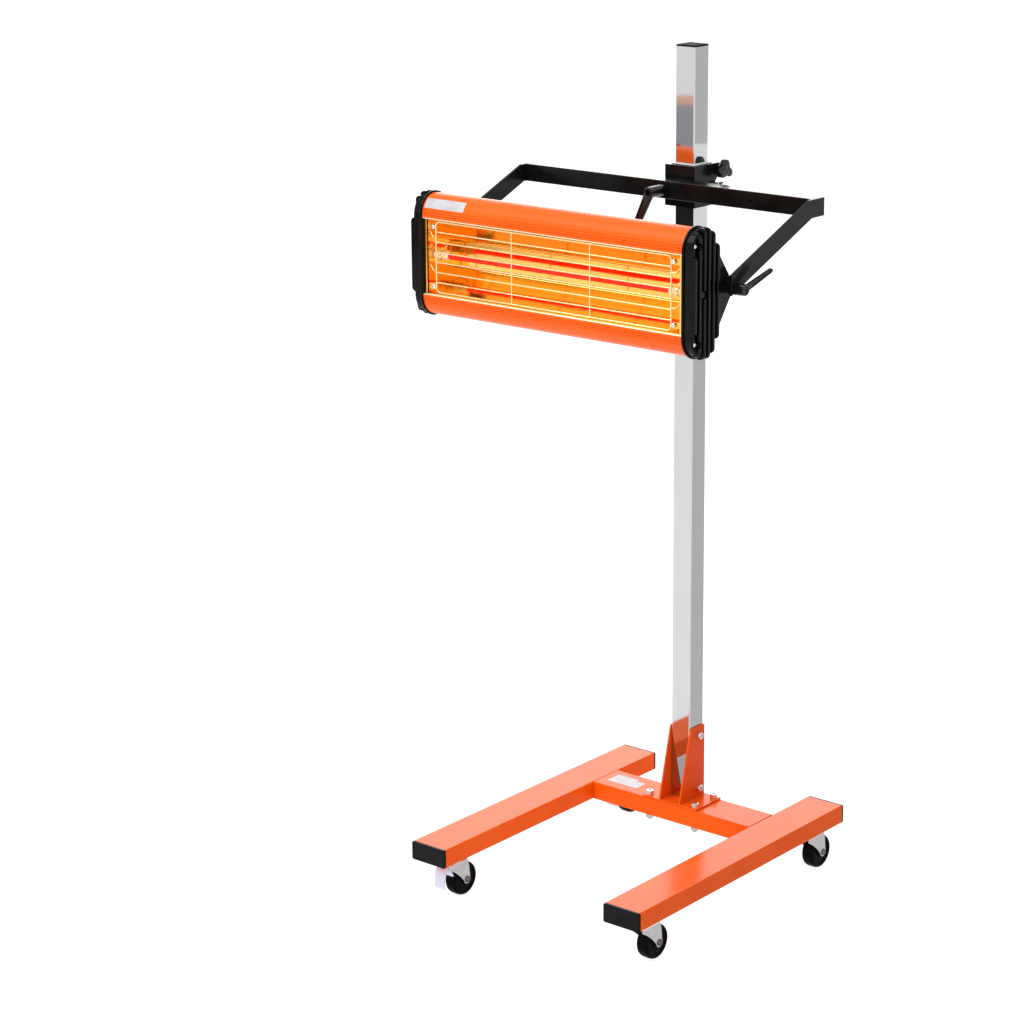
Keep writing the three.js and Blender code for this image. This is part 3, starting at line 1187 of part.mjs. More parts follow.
const rollHandle = new THREE.Vector3(-Math.sin(ROLL_HANDLE_ANGLE), 0, -Math.cos(ROLL_HANDLE_ANGLE));
const rollLever = addLeverGroup(
  carriage, 0, -CROSSBAR_BACK - CROSSBAR_SIZE, 0, new THREE.Vector3(0, -1, 0), rollHandle,
);
const rollStudLength = CROSSBAR_BACK + CROSSBAR_SIZE - SLEEVE_INSIDE - 1;
const rollStud = makeLeverStud(ROLL_STUD_RADIUS, rollStudLength, ROLL_HUB_LENGTH, ROLL_HUB_RECESS);
addMesh(rollLever, 'roll_stud', rollStud, ZINC);
const rollGrip = makeLeverHandle(ROLL_HUB_LENGTH, ROLL_HUB_RECESS, ROLL_HANDLE_WIDTHS);
addMesh(rollLever, 'roll_lever', rollGrip, BLACK_PLASTIC);

const yoke = addGroup(carriage, 0, 0, 0);
addMesh(yoke, 'crossbar', makeCrossbar(), BLACK_PAINT);
addMesh(yoke, 'arm_right', makeArm(), BLACK_PAINT);
addMesh(yoke, 'arm_left', mirrored(makeArm()), BLACK_PAINT);

const pivot = addGroup(yoke, 0, -PIVOT_AHEAD, -PIVOT_DROP);
addMesh(pivot, 'ear_right', makeEar(), BLACK_PAINT);
addMesh(pivot, 'ear_left', mirrored(makeEar()), BLACK_PAINT);

const tiltHandle = new THREE.Vector3(0, Math.cos(TILT_HANDLE_ANGLE), Math.sin(TILT_HANDLE_ANGLE));
const tiltStudLength = ARM_OUTSIDE - EAR_INNER_X + EAR_NUT_HEIGHT + 1;
for (const [side, sign] of [['left', -1], ['right', 1]]) {
  const axis = new THREE.Vector3(sign, 0, 0);
  const lever = addLeverGroup(pivot, sign * ARM_OUTSIDE, 0, 0, axis, tiltHandle);
  const stud = makeLeverStud(TILT_STUD_RADIUS, tiltStudLength, TILT_HUB_LENGTH, TILT_HUB_RECESS);
  addMesh(lever, `tilt_stud_${side}`, stud, ZINC);
  const grip = makeLeverHandle(TILT_HUB_LENGTH, TILT_HUB_RECESS, TILT_HANDLE_WIDTHS);
  addMesh(lever, `tilt_lever_${side}`, grip, BLACK_PLASTIC);
}

const head = addGroup(pivot, 0, -HEAD_AHEAD, 0);
addMesh(head, 'head_housing', makeHousing(), ORANGE_PAINT);
addMesh(head, 'end_cap_right', makeEndCap(), BLACK_PLASTIC);
addMesh(head, 'end_cap_left', mirrored(makeEndCap()), BLACK_PLASTIC);
addMesh(head, 'reflector', makeReflector(), GOLD_REFLECTOR);
addMesh(head, 'lamp_holder_right', makeHolder(), CERAMIC);
addMesh(head, 'lamp_holder_left', mirrored(makeHolder()), CERAMIC);
addMesh(head, 'quartz_tube', makeTube(), QUARTZ);
addMesh(head, 'filament', makeFilament(), HOT_WIRE);
addMesh(head, 'grille', makeGrille(), GRILLE_STEEL);
addMesh(head, 'terminal_box', makeTerminalBox(), BLACK_PLASTIC);
addMesh(head, 'cable_gland', makeGland(), BLACK_PLASTIC);
const rocker = addGroup(head, SWITCH_X, ARC_DEPTH + GAP + BOX_DEPTH - SWITCH_DEPTH, 0);
rocker.rotation.x = -SWITCH_THROW;
addMesh(rocker, 'rocker_switch', makeRocker(), SWITCH_RED);

export default lamp;
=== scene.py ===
import json
import math

import bmesh
import bpy
from mathutils import Matrix, Vector


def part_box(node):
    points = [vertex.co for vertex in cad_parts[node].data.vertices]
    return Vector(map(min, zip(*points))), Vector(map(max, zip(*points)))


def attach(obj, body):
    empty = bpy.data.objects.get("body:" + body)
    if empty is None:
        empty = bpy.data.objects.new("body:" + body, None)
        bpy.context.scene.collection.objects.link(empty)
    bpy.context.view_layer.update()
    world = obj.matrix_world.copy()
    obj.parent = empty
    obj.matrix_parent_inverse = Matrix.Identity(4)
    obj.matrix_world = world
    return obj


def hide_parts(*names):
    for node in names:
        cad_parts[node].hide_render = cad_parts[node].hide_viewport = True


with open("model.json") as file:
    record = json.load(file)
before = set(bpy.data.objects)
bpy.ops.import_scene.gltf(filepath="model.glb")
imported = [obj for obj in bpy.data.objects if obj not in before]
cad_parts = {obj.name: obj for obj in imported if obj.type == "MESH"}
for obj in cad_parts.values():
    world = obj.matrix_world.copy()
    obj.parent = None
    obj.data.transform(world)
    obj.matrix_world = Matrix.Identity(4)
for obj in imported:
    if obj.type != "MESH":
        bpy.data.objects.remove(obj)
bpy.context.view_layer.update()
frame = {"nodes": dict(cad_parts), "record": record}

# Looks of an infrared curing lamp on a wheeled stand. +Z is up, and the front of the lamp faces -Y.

scene = bpy.context.scene


def add_object(name, data):
    thing = bpy.data.objects.new(name, data)
    scene.collection.objects.link(thing)
    return thing


# Camera

CAMERA_PLACE = (2.7715, -3.5911, 1.9792)
CAMERA_TURN = 38.214
CAMERA_PITCH = 14.317
CAMERA_LENS = 97.89
CAMERA_SENSOR = 36
CAMERA_SHIFT = (-0.0918, -0.08)
CAMERA_CLIP = (0.05, 100)

camera = add_object("camera", bpy.data.cameras.new("camera"))
camera.location = CAMERA_PLACE
camera.rotation_euler = (math.radians(90 - CAMERA_PITCH), 0, math.radians(CAMERA_TURN))
camera.data.lens = CAMERA_LENS
camera.data.sensor_width = CAMERA_SENSOR
camera.data.shift_x, camera.data.shift_y = CAMERA_SHIFT
camera.data.clip_start, camera.data.clip_end = CAMERA_CLIP
scene.camera = camera


# Names of the CAD nodes by finish

CORNERS = ("front_left", "front_right", "rear_left", "rear_right")
SIDES = ("left", "right")


def each(stem, places=CORNERS):
    return [f"{stem}_{place}" for place in places]


NODE_FINISHES = {
    "orange_paint": ["leg_left", "leg_right", "cross_beam", "foot_bracket"],
    "orange_extrusion": ["head_housing"],
    "polished_stainless": ["column_tube"],
    "black_paint": ["carriage_sleeve", "crossbar", *each("arm", SIDES), *each("ear", SIDES)],
    "black_plastic": [
        "column_cap", "roll_bush", "clamp_knob", "roll_lever", *each("tilt_lever", SIDES),
        *each("end_cap", SIDES), "terminal_box", "cable_gland", *each("leg_cap"),
    ],
    "white_nylon": ["glide_liner", "brake_pedal_front_left", "brake_pedal_rear_left"],
    "zinc": [
        "column_bolt_lower", "column_bolt_upper", "pinch_bolt", "knob_bolt", "roll_stud",
        *each("tilt_stud", SIDES), *each("base_bolt"), *each("castor_race"), *each("castor_fork"),
    ],
    "black_tread": each("castor_wheel"),
    "gold_reflector": ["reflector"],
    "ceramic": each("lamp_holder", SIDES),
    "quartz": ["quartz_tube"],
    "hot_wire": ["filament"],
    "grille_steel": ["grille"],
    "switch_red": ["rocker_switch"],
}
SLOT_OF = {node: slot for slot, nodes in NODE_FINISHES.items() for node in nodes}
BODY_OF = {
    node: body for body, nodes in frame["record"]["behaviour"]["bodies"].items() for node in nodes
}


# Finishes

# The part of the noise in which the colour goes from dark to light
DRIFT_BAND = (0.35, 0.65)
DRIFT_DETAIL, GRAIN_DETAIL = 4, 2
LEAST_ROUGHNESS, COAT_ROUGHNESS = 0.02, 0.05


def make_finish(
    name, dark, light, roughness, metallic=0.0, coat=0.0, mottle=40.0, grain=400.0, grain_depth=0.00005,
    stretch=(1, 1, 1), roughness_spread=0.05, specular=0.5, **sockets,
):
    """A finish whose colour and roughness drift over the surface, with a fine grain in its normals."""
    material = bpy.data.materials.new(name)
    material.use_nodes = True
    nodes, links = material.node_tree.nodes, material.node_tree.links
    shader = nodes["Principled BSDF"]
    place = nodes.new("ShaderNodeTexCoord")
    scaled = nodes.new("ShaderNodeMapping")
    scaled.inputs["Scale"].default_value = stretch
    links.new(place.outputs["Object"], scaled.inputs["Vector"])

    drift = nodes.new("ShaderNodeTexNoise")
    drift.inputs["Scale"].default_value = mottle
    drift.inputs["Detail"].default_value = DRIFT_DETAIL
    links.new(scaled.outputs["Vector"], drift.inputs["Vector"])
    ramp = nodes.new("ShaderNodeValToRGB")
    for stop, position, colour in zip(ramp.color_ramp.elements, DRIFT_BAND, (dark, light)):
        stop.position = position
        stop.color = (*colour, 1)
    links.new(drift.outputs["Fac"], ramp.inputs["Fac"])
    links.new(ramp.outputs["Color"], shader.inputs["Base Color"])

    sheen = nodes.new("ShaderNodeMapRange")
    sheen.inputs["To Min"].default_value = max(LEAST_ROUGHNESS, roughness - roughness_spread)
    sheen.inputs["To Max"].default_value = roughness + roughness_spread
    links.new(drift.outputs["Fac"], sheen.inputs["Value"])
    links.new(sheen.outputs["Result"], shader.inputs["Roughness"])

    fine = nodes.new("ShaderNodeTexNoise")
    fine.inputs["Scale"].default_value = grain
    fine.inputs["Detail"].default_value = GRAIN_DETAIL
    links.new(scaled.outputs["Vector"], fine.inputs["Vector"])
    bump = nodes.new("ShaderNodeBump")
    bump.inputs["Strength"].default_value = 1.0
    bump.inputs["Distance"].default_value = grain_depth
    links.new(fine.outputs["Fac"], bump.inputs["Height"])
    links.new(bump.outputs["Normal"], shader.inputs["Normal"])

    shader.inputs["Metallic"].default_value = metallic
    shader.inputs["Specular IOR Level"].default_value = specular
    shader.inputs["Coat Weight"].default_value = coat
    shader.inputs["Coat Roughness"].default_value = COAT_ROUGHNESS
    for socket, value in sockets.items():
        shader.inputs[socket.replace("_", " ")].default_value = value
    return material


LOOKS = {
    "orange_paint": dict(
        dark=(0.84, 0.096, 0.003), light=(0.90, 0.108, 0.004), roughness=0.20, specular=0.10,
        mottle=9, grain=420, grain_depth=0.000012, roughness_spread=0.04,
    ),
    "orange_extrusion": dict(
        dark=(0.86, 0.112, 0.004), light=(0.92, 0.124, 0.005), roughness=0.28, specular=0.14,
        mottle=9, grain=500, grain_depth=0.00001,
    ),
    "polished_stainless": dict(
        dark=(0.535, 0.535, 0.54), light=(0.565, 0.565, 0.57), roughness=0.05, metallic=1.0,
        mottle=25, grain=700, grain_depth=0.000005, stretch=(1, 1, 0.02), roughness_spread=0.03,
    ),
    "black_paint": dict(
        dark=(0.004, 0.004, 0.004), light=(0.007, 0.007, 0.007), roughness=0.20, specular=0.14,
        mottle=30, grain=650, grain_depth=0.00002,
    ),
    "black_plastic": dict(
        dark=(0.0045, 0.004, 0.0055), light=(0.008, 0.007, 0.0095), roughness=0.28, specular=0.08,
        mottle=60, grain=1500, grain_depth=0.00004,
    ),
    "black_gloss": dict(
        dark=(0.002, 0.002, 0.0025), light=(0.004, 0.004, 0.005), roughness=0.13, specular=0.11,
        mottle=60, grain=900, grain_depth=0.00001,
    ),
    "lever_black": dict(
        dark=(0.003, 0.003, 0.0035), light=(0.006, 0.006, 0.0065), roughness=0.17, specular=0.42,
        mottle=60, grain=1200, grain_depth=0.00002,
    ),
    "matte_black": dict(
        dark=(0.006, 0.005, 0.008), light=(0.010, 0.009, 0.013), roughness=0.60, specular=0.02,
        mottle=70, grain=1300, grain_depth=0.00004,
    ),
    "white_nylon": dict(
        dark=(0.70, 0.70, 0.71), light=(0.78, 0.78, 0.80), roughness=0.42,
        mottle=80, grain=900, grain_depth=0.00003,
    ),
    "pale_nylon": dict(
        dark=(0.66, 0.70, 0.84), light=(0.74, 0.78, 0.92), roughness=0.42,
        mottle=80, grain=900, grain_depth=0.00003,
    ),
    "zinc": dict(
        dark=(0.76, 0.74, 0.73), light=(0.84, 0.82, 0.81), roughness=0.24, metallic=1.0,
        mottle=60, grain=900, grain_depth=0.000012, roughness_spread=0.04,
    ),
    # Zinc drawn darker than the other zinc, standing for the shade on the castors' axles and nuts: painted
    # shade.
    "shaded_zinc": dict(
        dark=(0.20, 0.18, 0.22), light=(0.28, 0.26, 0.31), roughness=0.30, metallic=1.0,
        mottle=60, grain=900, grain_depth=0.000012,
    ),
    "black_tread": dict(
        dark=(0.0015, 0.0014, 0.0015), light=(0.003, 0.0028, 0.003), roughness=0.26, specular=0.05,
        mottle=90, grain=1200, grain_depth=0.00004,
    ),
    "gold_reflector": dict(
        dark=(1.0, 0.52, 0.10), light=(1.0, 0.60, 0.15), roughness=0.11, metallic=1.0,
        mottle=18, grain=160, grain_depth=0.00006, stretch=(0.15, 1, 1), roughness_spread=0.04,
    ),
    "ceramic": dict(
        dark=(0.86, 0.66, 0.36), light=(0.95, 0.78, 0.48), roughness=0.50,
        mottle=150, grain=1300, grain_depth=0.00006,
    ),
    "quartz": dict(
        dark=(0.85, 0.022, 0.002), light=(0.95, 0.035, 0.004), roughness=0.12, specular=0.2,
        mottle=60, grain=200, grain_depth=0.00001, Transmission_Weight=0.25, IOR=1.46,
        Emission_Color=(1.0, 0.02, 0.001, 1), Emission_Strength=0.30,
    ),
    "hot_wire": dict(
        dark=(0.9, 0.4, 0.1), light=(1.0, 0.55, 0.2), roughness=0.4,
        mottle=500, Emission_Color=(1.0, 0.22, 0.03, 1), Emission_Strength=4.0,
    ),
    "grille_steel": dict(
        dark=(0.92, 0.66, 0.30), light=(1.0, 0.80, 0.46), roughness=0.20, metallic=1.0,
        mottle=220, grain=900, grain_depth=0.00001,
    ),
    # A paler copy of the reflector's gold for the bead at the mouth, for the white line along the lip:
    # painted highlight.
    "gold_lip_highlight": dict(
        dark=(0.95, 0.80, 0.56), light=(1.0, 0.90, 0.70), roughness=0.34, metallic=1.0,
        mottle=60, grain=900, grain_depth=0.00001, stretch=(0.1, 1, 1),
    ),
    "switch_red": dict(
        dark=(0.42, 0.012, 0.016), light=(0.55, 0.020, 0.024), roughness=0.22, coat=0.5,
        mottle=120, grain=1500, grain_depth=0.00002,
    ),
    "label": dict(
        dark=(0.44, 0.44, 0.46), light=(0.54, 0.54, 0.56), roughness=0.34, specular=0.2,
        mottle=55, grain=700, grain_depth=0.00001,
    ),
}
FINISHES = {name: make_finish(name, **look) for name, look in LOOKS.items()}


# Pieces

SHARP_ANGLE = 38.0
FLAT_ANGLE = 0.6
FLAT_WEIGHT = 80
MM = 0.001
NODE_MERGE, PIECE_MERGE, SOLID_MERGE = 1e-6, 1e-7, 1e-5
taken = set()


def finished(piece, finish, body, replaces=()):
    """Gives a piece its finish and body, and hides the CAD nodes that it stands for."""
    piece.data.materials.clear()
    piece.data.materials.append(FINISHES[finish])
    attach(piece, body)
    if replaces:
        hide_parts(*replaces)
        taken.update(replaces)


def clean(mesh, merge, flatten=0.0):
    """Joins points that meet, and faces flat to within an angle, and turns all faces outward."""
    work = bmesh.new()
    work.from_mesh(mesh)
    bmesh.ops.remove_doubles(work, verts=work.verts, dist=merge)
    if flatten:
        bmesh.ops.dissolve_limit(
            work, angle_limit=math.radians(flatten), verts=work.verts, edges=work.edges,
        )
    bmesh.ops.recalc_face_normals(work, faces=work.faces)
    work.to_mesh(mesh)
    work.free()


def smooth(mesh, angle):
    """Shades smoothly, and keeps the edges sharp that turn by more than an angle."""
    mesh.shade_smooth()
    mesh.set_sharp_from_angle(angle=math.radians(angle))


def add_bevel(piece, width, segments, angle):
    bevel = piece.modifiers.new("edges", "BEVEL")
    bevel.width = width
    bevel.segments = segments
    bevel.limit_method = "ANGLE"
    bevel.angle_limit = math.radians(angle)
    bevel.harden_normals = True


def even_normals(piece):
    """Keeps flat faces flat where they meet round ones."""
    normals = piece.modifiers.new("normals", "WEIGHTED_NORMAL")
    normals.keep_sharp = True
    normals.weight = FLAT_WEIGHT


def dress(node, bevel):
    """A copy of a CAD node with clean faces and rounded edges, in the node's place."""
    mesh = frame["nodes"][node].data.copy()
    clean(mesh, NODE_MERGE, FLAT_ANGLE)
    smooth(mesh, SHARP_ANGLE)
    piece = add_object(f"{node}_finished", mesh)
    add_bevel(piece, bevel, 2, SHARP_ANGLE)
    even_normals(piece)
    finished(piece, SLOT_OF[node], BODY_OF[node], replaces=[node])


# Mesh building, in millimetres

def on_axis(axis, u, v, d):
    """A point d along an axis, with u and v across it."""
    return {"X": (d, u, v), "Y": (u, d, v), "Z": (u, v, d)}[axis]


class Shape:
    """Closed solids gathered into one mesh. Sizes are in millimetres."""

    def __init__(self):
        self.verts, self.faces = [], []

    def add(self, verts, faces):
        base = len(self.verts)
        self.verts += [tuple(v) for v in verts]
        self.faces += [tuple(base + i for i in face) for face in faces]
        return self

    def strips(self, rings, closed_along=False):
        """Rings of equally many points, joined one to the next, with a cap on each end if it has ends."""
        count, around = len(rings), len(rings[0])
        faces = []
        for a in range(count if closed_along else count - 1):
            b = (a + 1) % count
            for i in range(around):
                j = (i + 1) % around
                faces.append((a * around + i, a * around + j, b * around + j, b * around + i))
        if not closed_along:
            faces.append(tuple(range(around))[::-1])
            faces.append(tuple((count - 1) * around + i for i in range(around)))
        return self.add([p for ring in rings for p in ring], faces)

    def prism(self, outline, low, high, axis, centre=(0, 0, 0)):
        """An outline drawn out along an axis, from low to high."""
        rings = [
            [Vector(on_axis(axis, u, v, d)) + Vector(centre) for u, v in outline] for d in (low, high)
        ]
        return self.strips(rings)

    def block(self, x0, x1, y0, y1, z0, z1):
        return self.prism([(x0, y0), (x1, y0), (x1, y1), (x0, y1)], z0, z1, "Z")

    def turned(self, profile, axis, centre=(0, 0, 0), steps=40, ring=False):
        """A lathed solid from (radius, distance) pairs. A ring's profile closes on itself."""
        rings = [
            [
                Vector(on_axis(axis, r * math.cos(t), r * math.sin(t), d)) + Vector(centre)
                for t in (2 * math.pi * i / steps for i in range(steps))
            ]
            for r, d in profile
        ]
        return self.strips(rings, closed_along=ring)

    def sweep(self, path, radius, steps, closed=False):
        """A round wire along a path of points."""
        points = [Vector(p) for p in path]
        count = len(points)
        rings, side = [], None
        for i, point in enumerate(points):
            before = points[i - 1] if i or closed else point
            after = points[(i + 1) % count] if i < count - 1 or closed else point
            along = (after - before).normalized()
            if side is None:
                side = along.orthogonal().normalized()
            side = (side - along * side.dot(along)).normalized()
            up = along.cross(side)
            rings.append([
                point + radius * (math.cos(t) * side + math.sin(t) * up)
                for t in (2 * math.pi * k / steps for k in range(steps))
            ])
        return self.strips(rings, closed_along=closed)

    def layered(self, outline, layers, axis):
        """A solid whose outline shrinks by an inset at each distance along an axis."""
        return self.strips([[on_axis(axis, u, v, d) for u, v in outline(inset)] for inset, d in layers])

    def pipe(self, outside, inside, low, high, axis):
        """A prism of the outside outline with the inside one taken out."""
        loops = ((outside, low), (outside, high), (inside, high), (inside, low))
        rings = [[on_axis(axis, u, v, d) for u, v in loop] for loop, d in loops]
        return self.strips(rings, closed_along=True)

    def at(self, x, y, z):
        self.verts = [(a + x, b + y, c + z) for a, b, c in self.verts]
        return self

    def with_all(self, *others):
        for other in others:
            self.add(other.verts, other.faces)
        return self

    def moved(self, matrix):
        self.verts = [tuple(matrix @ Vector(v)) for v in self.verts]
        return self

    def mirrored(self):
        copy = Shape()
        copy.verts = [(-x, y, z) for x, y, z in self.verts]
        copy.faces = [face[::-1] for face in self.faces]
        return copy

    def mesh(self, name, scale, merge):
        data = bpy.data.meshes.new(name)
        data.from_pydata([(x * scale, y * scale, z * scale) for x, y, z in self.verts], [], self.faces)
        clean(data, merge)
        return data

    def piece(
        self, name, finish, body, replaces=(), bevel=0.0, segments=3, angle=SHARP_ANGLE, slot=None,
    ):
        """Puts the shape into the scene as a piece of the lamp."""
        mesh = self.mesh(name, MM, PIECE_MERGE)
        smooth(mesh, angle)
        piece = add_object(name, mesh)
        if bevel:
            add_bevel(piece, bevel * MM, segments, angle)
        even_normals(piece)
        finished(piece, finish, body, replaces)


def carved(shape, other, operation="DIFFERENCE"):
    """The first solid with the second cut out of it, or the part that they share."""
    objects = [add_object("solid", solid.mesh("solid", 1, SOLID_MERGE)) for solid in (shape, other)]
    cut = objects[0].modifiers.new("cut", "BOOLEAN")
    cut.object, cut.operation, cut.solver = objects[1], operation, "EXACT"
    result = bpy.data.meshes.new_from_object(
        objects[0].evaluated_get(bpy.context.evaluated_depsgraph_get())
    )
    outcome = Shape().add(
        [v.co[:] for v in result.vertices], [tuple(p.vertices) for p in result.polygons]
    )
    meshes = [solid.data for solid in objects]
    for solid in objects:
        bpy.data.objects.remove(solid)
    for mesh in (*meshes, result):
        bpy.data.meshes.remove(mesh)
    return outcome


def arc(cx, cy, radius, start, end, steps=8):
    """Points of an arc between two angles in degrees."""
    return [
        (cx + radius * math.cos(t), cy + radius * math.sin(t))
        for t in (math.radians(start + (end - start) * i / steps) for i in range(steps + 1))
    ]


def rounded(width, height, corner, steps, cx=0.0, cy=0.0):
    """A rectangle with round corners."""
    x, y = width / 2 - corner, height / 2 - corner
    return (
        arc(cx + x, cy + y, corner, 0, 90, steps) + arc(cx - x, cy + y, corner, 90, 180, steps)
        + arc(cx - x, cy - y, corner, 180, 270, steps) + arc(cx + x, cy - y, corner, 270, 360, steps)
    )


def hexagon(flats):
    return arc(0, 0, flats / math.sqrt(3), 0, 300, 5)


def flipped(points):
    """An outline mirrored top to bottom, with its points in the opposite order."""
    return [(y, -z) for y, z in reversed(points)]


# Small fasteners, each along +Z from the seat of its head

def socket_screw(grip):
    """An M8 socket screw with its nut, and the turns of thread past the nut."""
    end = -grip - 9.5
    head = Shape().turned([
        (0, -0.2), (6.5, -0.2), (6.5, 6.6), (6.2, 7.5), (5.4, 8.0), (0, 8.0),
    ], "Z", steps=48)
    head = carved(head, Shape().prism(hexagon(6), 3.6, 9, "Z"))
    shank = [(0, 0.4), (3.9, 0.4), (3.9, -grip - 6.4)]
    for turn in range(3):
        top = -grip - 6.5 - turn
        shank += [(4.0, top), (3.45, top - 0.5)]
    shank += [(3.4, end + 0.3), (3.0, end), (0, end)]
    nut = Shape().layered(
        lambda inset: hexagon(13 - 2 * inset),
        [(0.9, -grip - 6.5), (0, -grip - 5.9), (0, -grip - 0.6), (0.9, -grip)], "Z",
    )
    return head.with_all(Shape().turned(shank, "Z", steps=28), nut)


def pan_screw(head_radius, length=4.0, height=2.5):
    """A screw with a domed head and a cross in it."""
    head = Shape().turned([
        (0, -length), (1.5, -length), (1.5, 0), (head_radius, 0), (head_radius, 0.35 * height),
        (0.92 * head_radius, 0.62 * height), (0.7 * head_radius, 0.88 * height),
        (0.4 * head_radius, height), (0, height),
    ], "Z", steps=36)
    wide, thin = 0.55 * head_radius, 0.14 * head_radius
    cross = [
        (thin, wide), (-thin, wide), (-thin, thin), (-wide, thin), (-wide, -thin), (-thin, -thin),
        (-thin, -wide), (thin, -wide), (thin, -thin), (wide, -thin), (wide, thin), (thin, thin),
    ]
    return carved(head, Shape().prism(cross, 0.45 * height, height + 1, "Z"))


TO_X = Matrix(((0, 0, 1), (1, 0, 0), (0, 1, 0))).to_4x4()
TO_Y = Matrix(((1, 0, 0), (0, 0, 1), (0, -1, 0))).to_4x4()
TO_FRONT = Matrix(((1, 0, 0), (0, 0, -1), (0, 1, 0))).to_4x4()


def placed(shape, matrix, x, y, z):
    copy = Shape().add(shape.verts, shape.faces)
    return copy.moved(matrix).at(x, y, z)


# The stand

BEAM_Y, COLUMN_Y, PLATE_TOP = 147.5, 162.5, 118.3
TUBE_WALL = 2
LEG_CORNER, TUBE_CORNER, COLUMN_CAP_CORNER = 3.0, 2.5, 2.6
BASE_BOLT_X, BASE_BOLT_Y, BASE_BOLT_GRIP = 50, 28, 36.9
COLUMN_BOLT_HEIGHTS, COLUMN_BOLT_GRIP = {"lower": 18, "upper": 116}, 47.2
BOLT_GAP = 0.3
SWIVELS = {
    "front_left": (-209, -237.5), "front_right": (209, -237.5),
    "rear_left": (-209, 243.5), "rear_right": (209, 243.5),
}


def box_mm(node):
    return [[value / MM for value in corner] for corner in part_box(node)]


def make_tube(node, axis, corner):
    """A rectangular tube in a node's place, with round corners."""
    low, high = box_mm(node)
    along = "XYZ".index(axis)
    across = [i for i in range(3) if i != along]
    sizes = [high[i] - low[i] for i in across]
    bore = [size - 2 * TUBE_WALL for size in sizes]
    middle = [(high[i] + low[i]) / 2 for i in across]
    Shape().pipe(
        rounded(*sizes, corner, 8, *middle), rounded(*bore, max(corner - TUBE_WALL, 0.3), 8, *middle),
        low[along], high[along], axis,
    ).piece(f"{node}_tube", SLOT_OF[node], BODY_OF[node], [node])


def make_column_cap():
    low, high = box_mm("column_cap")
    wide, deep, top = high[0] - low[0], high[1] - low[1], high[2]
    Shape().layered(
        lambda inset: rounded(wide - 2 * inset, deep - 2 * inset, COLUMN_CAP_CORNER, 6, 0, COLUMN_Y),
        [(2.2, low[2]), (2.2, top - 3), (0.3, top - 3), (0, top - 2.6), (0, top - 1.0), (0.3, top - 0.3),
         (1.0, top), (6, top), (6.4, top - 0.3)],
        "Z",
    ).piece("column_cap_plug", "matte_black", "stand", ["column_cap"], slot="black_plastic")


def make_leg_cap(name):
    """A leg's end cap: its face over the tube's end, and its narrower plug inside."""
    node = f"leg_cap_{name}"
    low, high = box_mm(node)
    wide, tall = high[0] - low[0], high[2] - low[2]
    middle = ((low[0] + high[0]) / 2, (low[2] + high[2]) / 2)
    outer, inner = (low[1], high[1]) if name.startswith("front") else (high[1], low[1])
    out = 1 if outer > inner else -1
    # Insets, each with its depth behind the face
    profile = (
        (2.3, 5.0), (0.5, 5.0), (0, 4.5), (0, 1.3), (0.35, 0.4), (1.2, 0), (3.4, 0), (3.8, 0.4),
    )
    Shape().layered(
        lambda inset: rounded(wide - 2 * inset, tall - 2 * inset, LEG_CORNER, 6, *middle),
        [(2.3, inner), *((inset, outer - depth * out) for inset, depth in profile)], "Y",
    ).piece(f"{node}_plug", "black_plastic", "stand", [node])


for side in SIDES:
    make_tube(f"leg_{side}", "Y", LEG_CORNER)
make_tube("cross_beam", "X", TUBE_CORNER)
make_tube("column_tube", "Z", TUBE_CORNER)
make_column_cap()

screw = socket_screw(BASE_BOLT_GRIP)
for name in CORNERS:
    x = -BASE_BOLT_X if name.endswith("left") else BASE_BOLT_X
    y = BEAM_Y - BASE_BOLT_Y if name.startswith("front") else BEAM_Y + BASE_BOLT_Y
    placed(screw, Matrix(), x, y, PLATE_TOP + BOLT_GAP).piece(
        f"base_bolt_{name}_screw", "zinc", "stand", [f"base_bolt_{name}"],
    )
screw = socket_screw(COLUMN_BOLT_GRIP)
for name, height in COLUMN_BOLT_HEIGHTS.items():
    placed(screw, TO_X, COLUMN_BOLT_GRIP / 2, COLUMN_Y, PLATE_TOP + height).piece(
        f"column_bolt_{name}_screw", "zinc", "stand", [f"column_bolt_{name}"],
    )
for name in CORNERS:
    make_leg_cap(name)


# Castors, each about its swivel axis

AXLE_Y, AXLE_Z = 24, 30
PEDAL_PIN = (0, -14, 60)
TREAD_HALF, SHOE_HALF, RIB_HALF = 11, 9.5, 9.4


def fork_shape():
    """A bent channel, cut to the fork's side view."""
    channel = Shape().prism(
        [(-15.5, 15), *arc(-11.3, 64.8, 4.2, 180, 90), *arc(11.3, 64.8, 4.2, 90, 0), (15.5, 15),
         (13, 15), *arc(11.2, 64.2, 1.8, 0, 90, 5), *arc(-11.2, 64.2, 1.8, 90, 180, 5), (-13, 15)],
        -24, 36, "Y",
    )
    start, pull, end = (-20, 60), (1, 48), (16, 29)
    curve = [
        [(1 - t) ** 2 * a + 2 * t * (1 - t) * b + t * t * c for a, b, c in zip(start, pull, end)]
        for t in (i / 12 for i in range(13))
    ]
    side = [(-20, 75), *curve, *arc(AXLE_Y, AXLE_Z, 8, 190, 350, 12), (29, 54), (24, 75)]
    return carved(channel, Shape().prism(side, -30, 30, "X"), "INTERSECT")


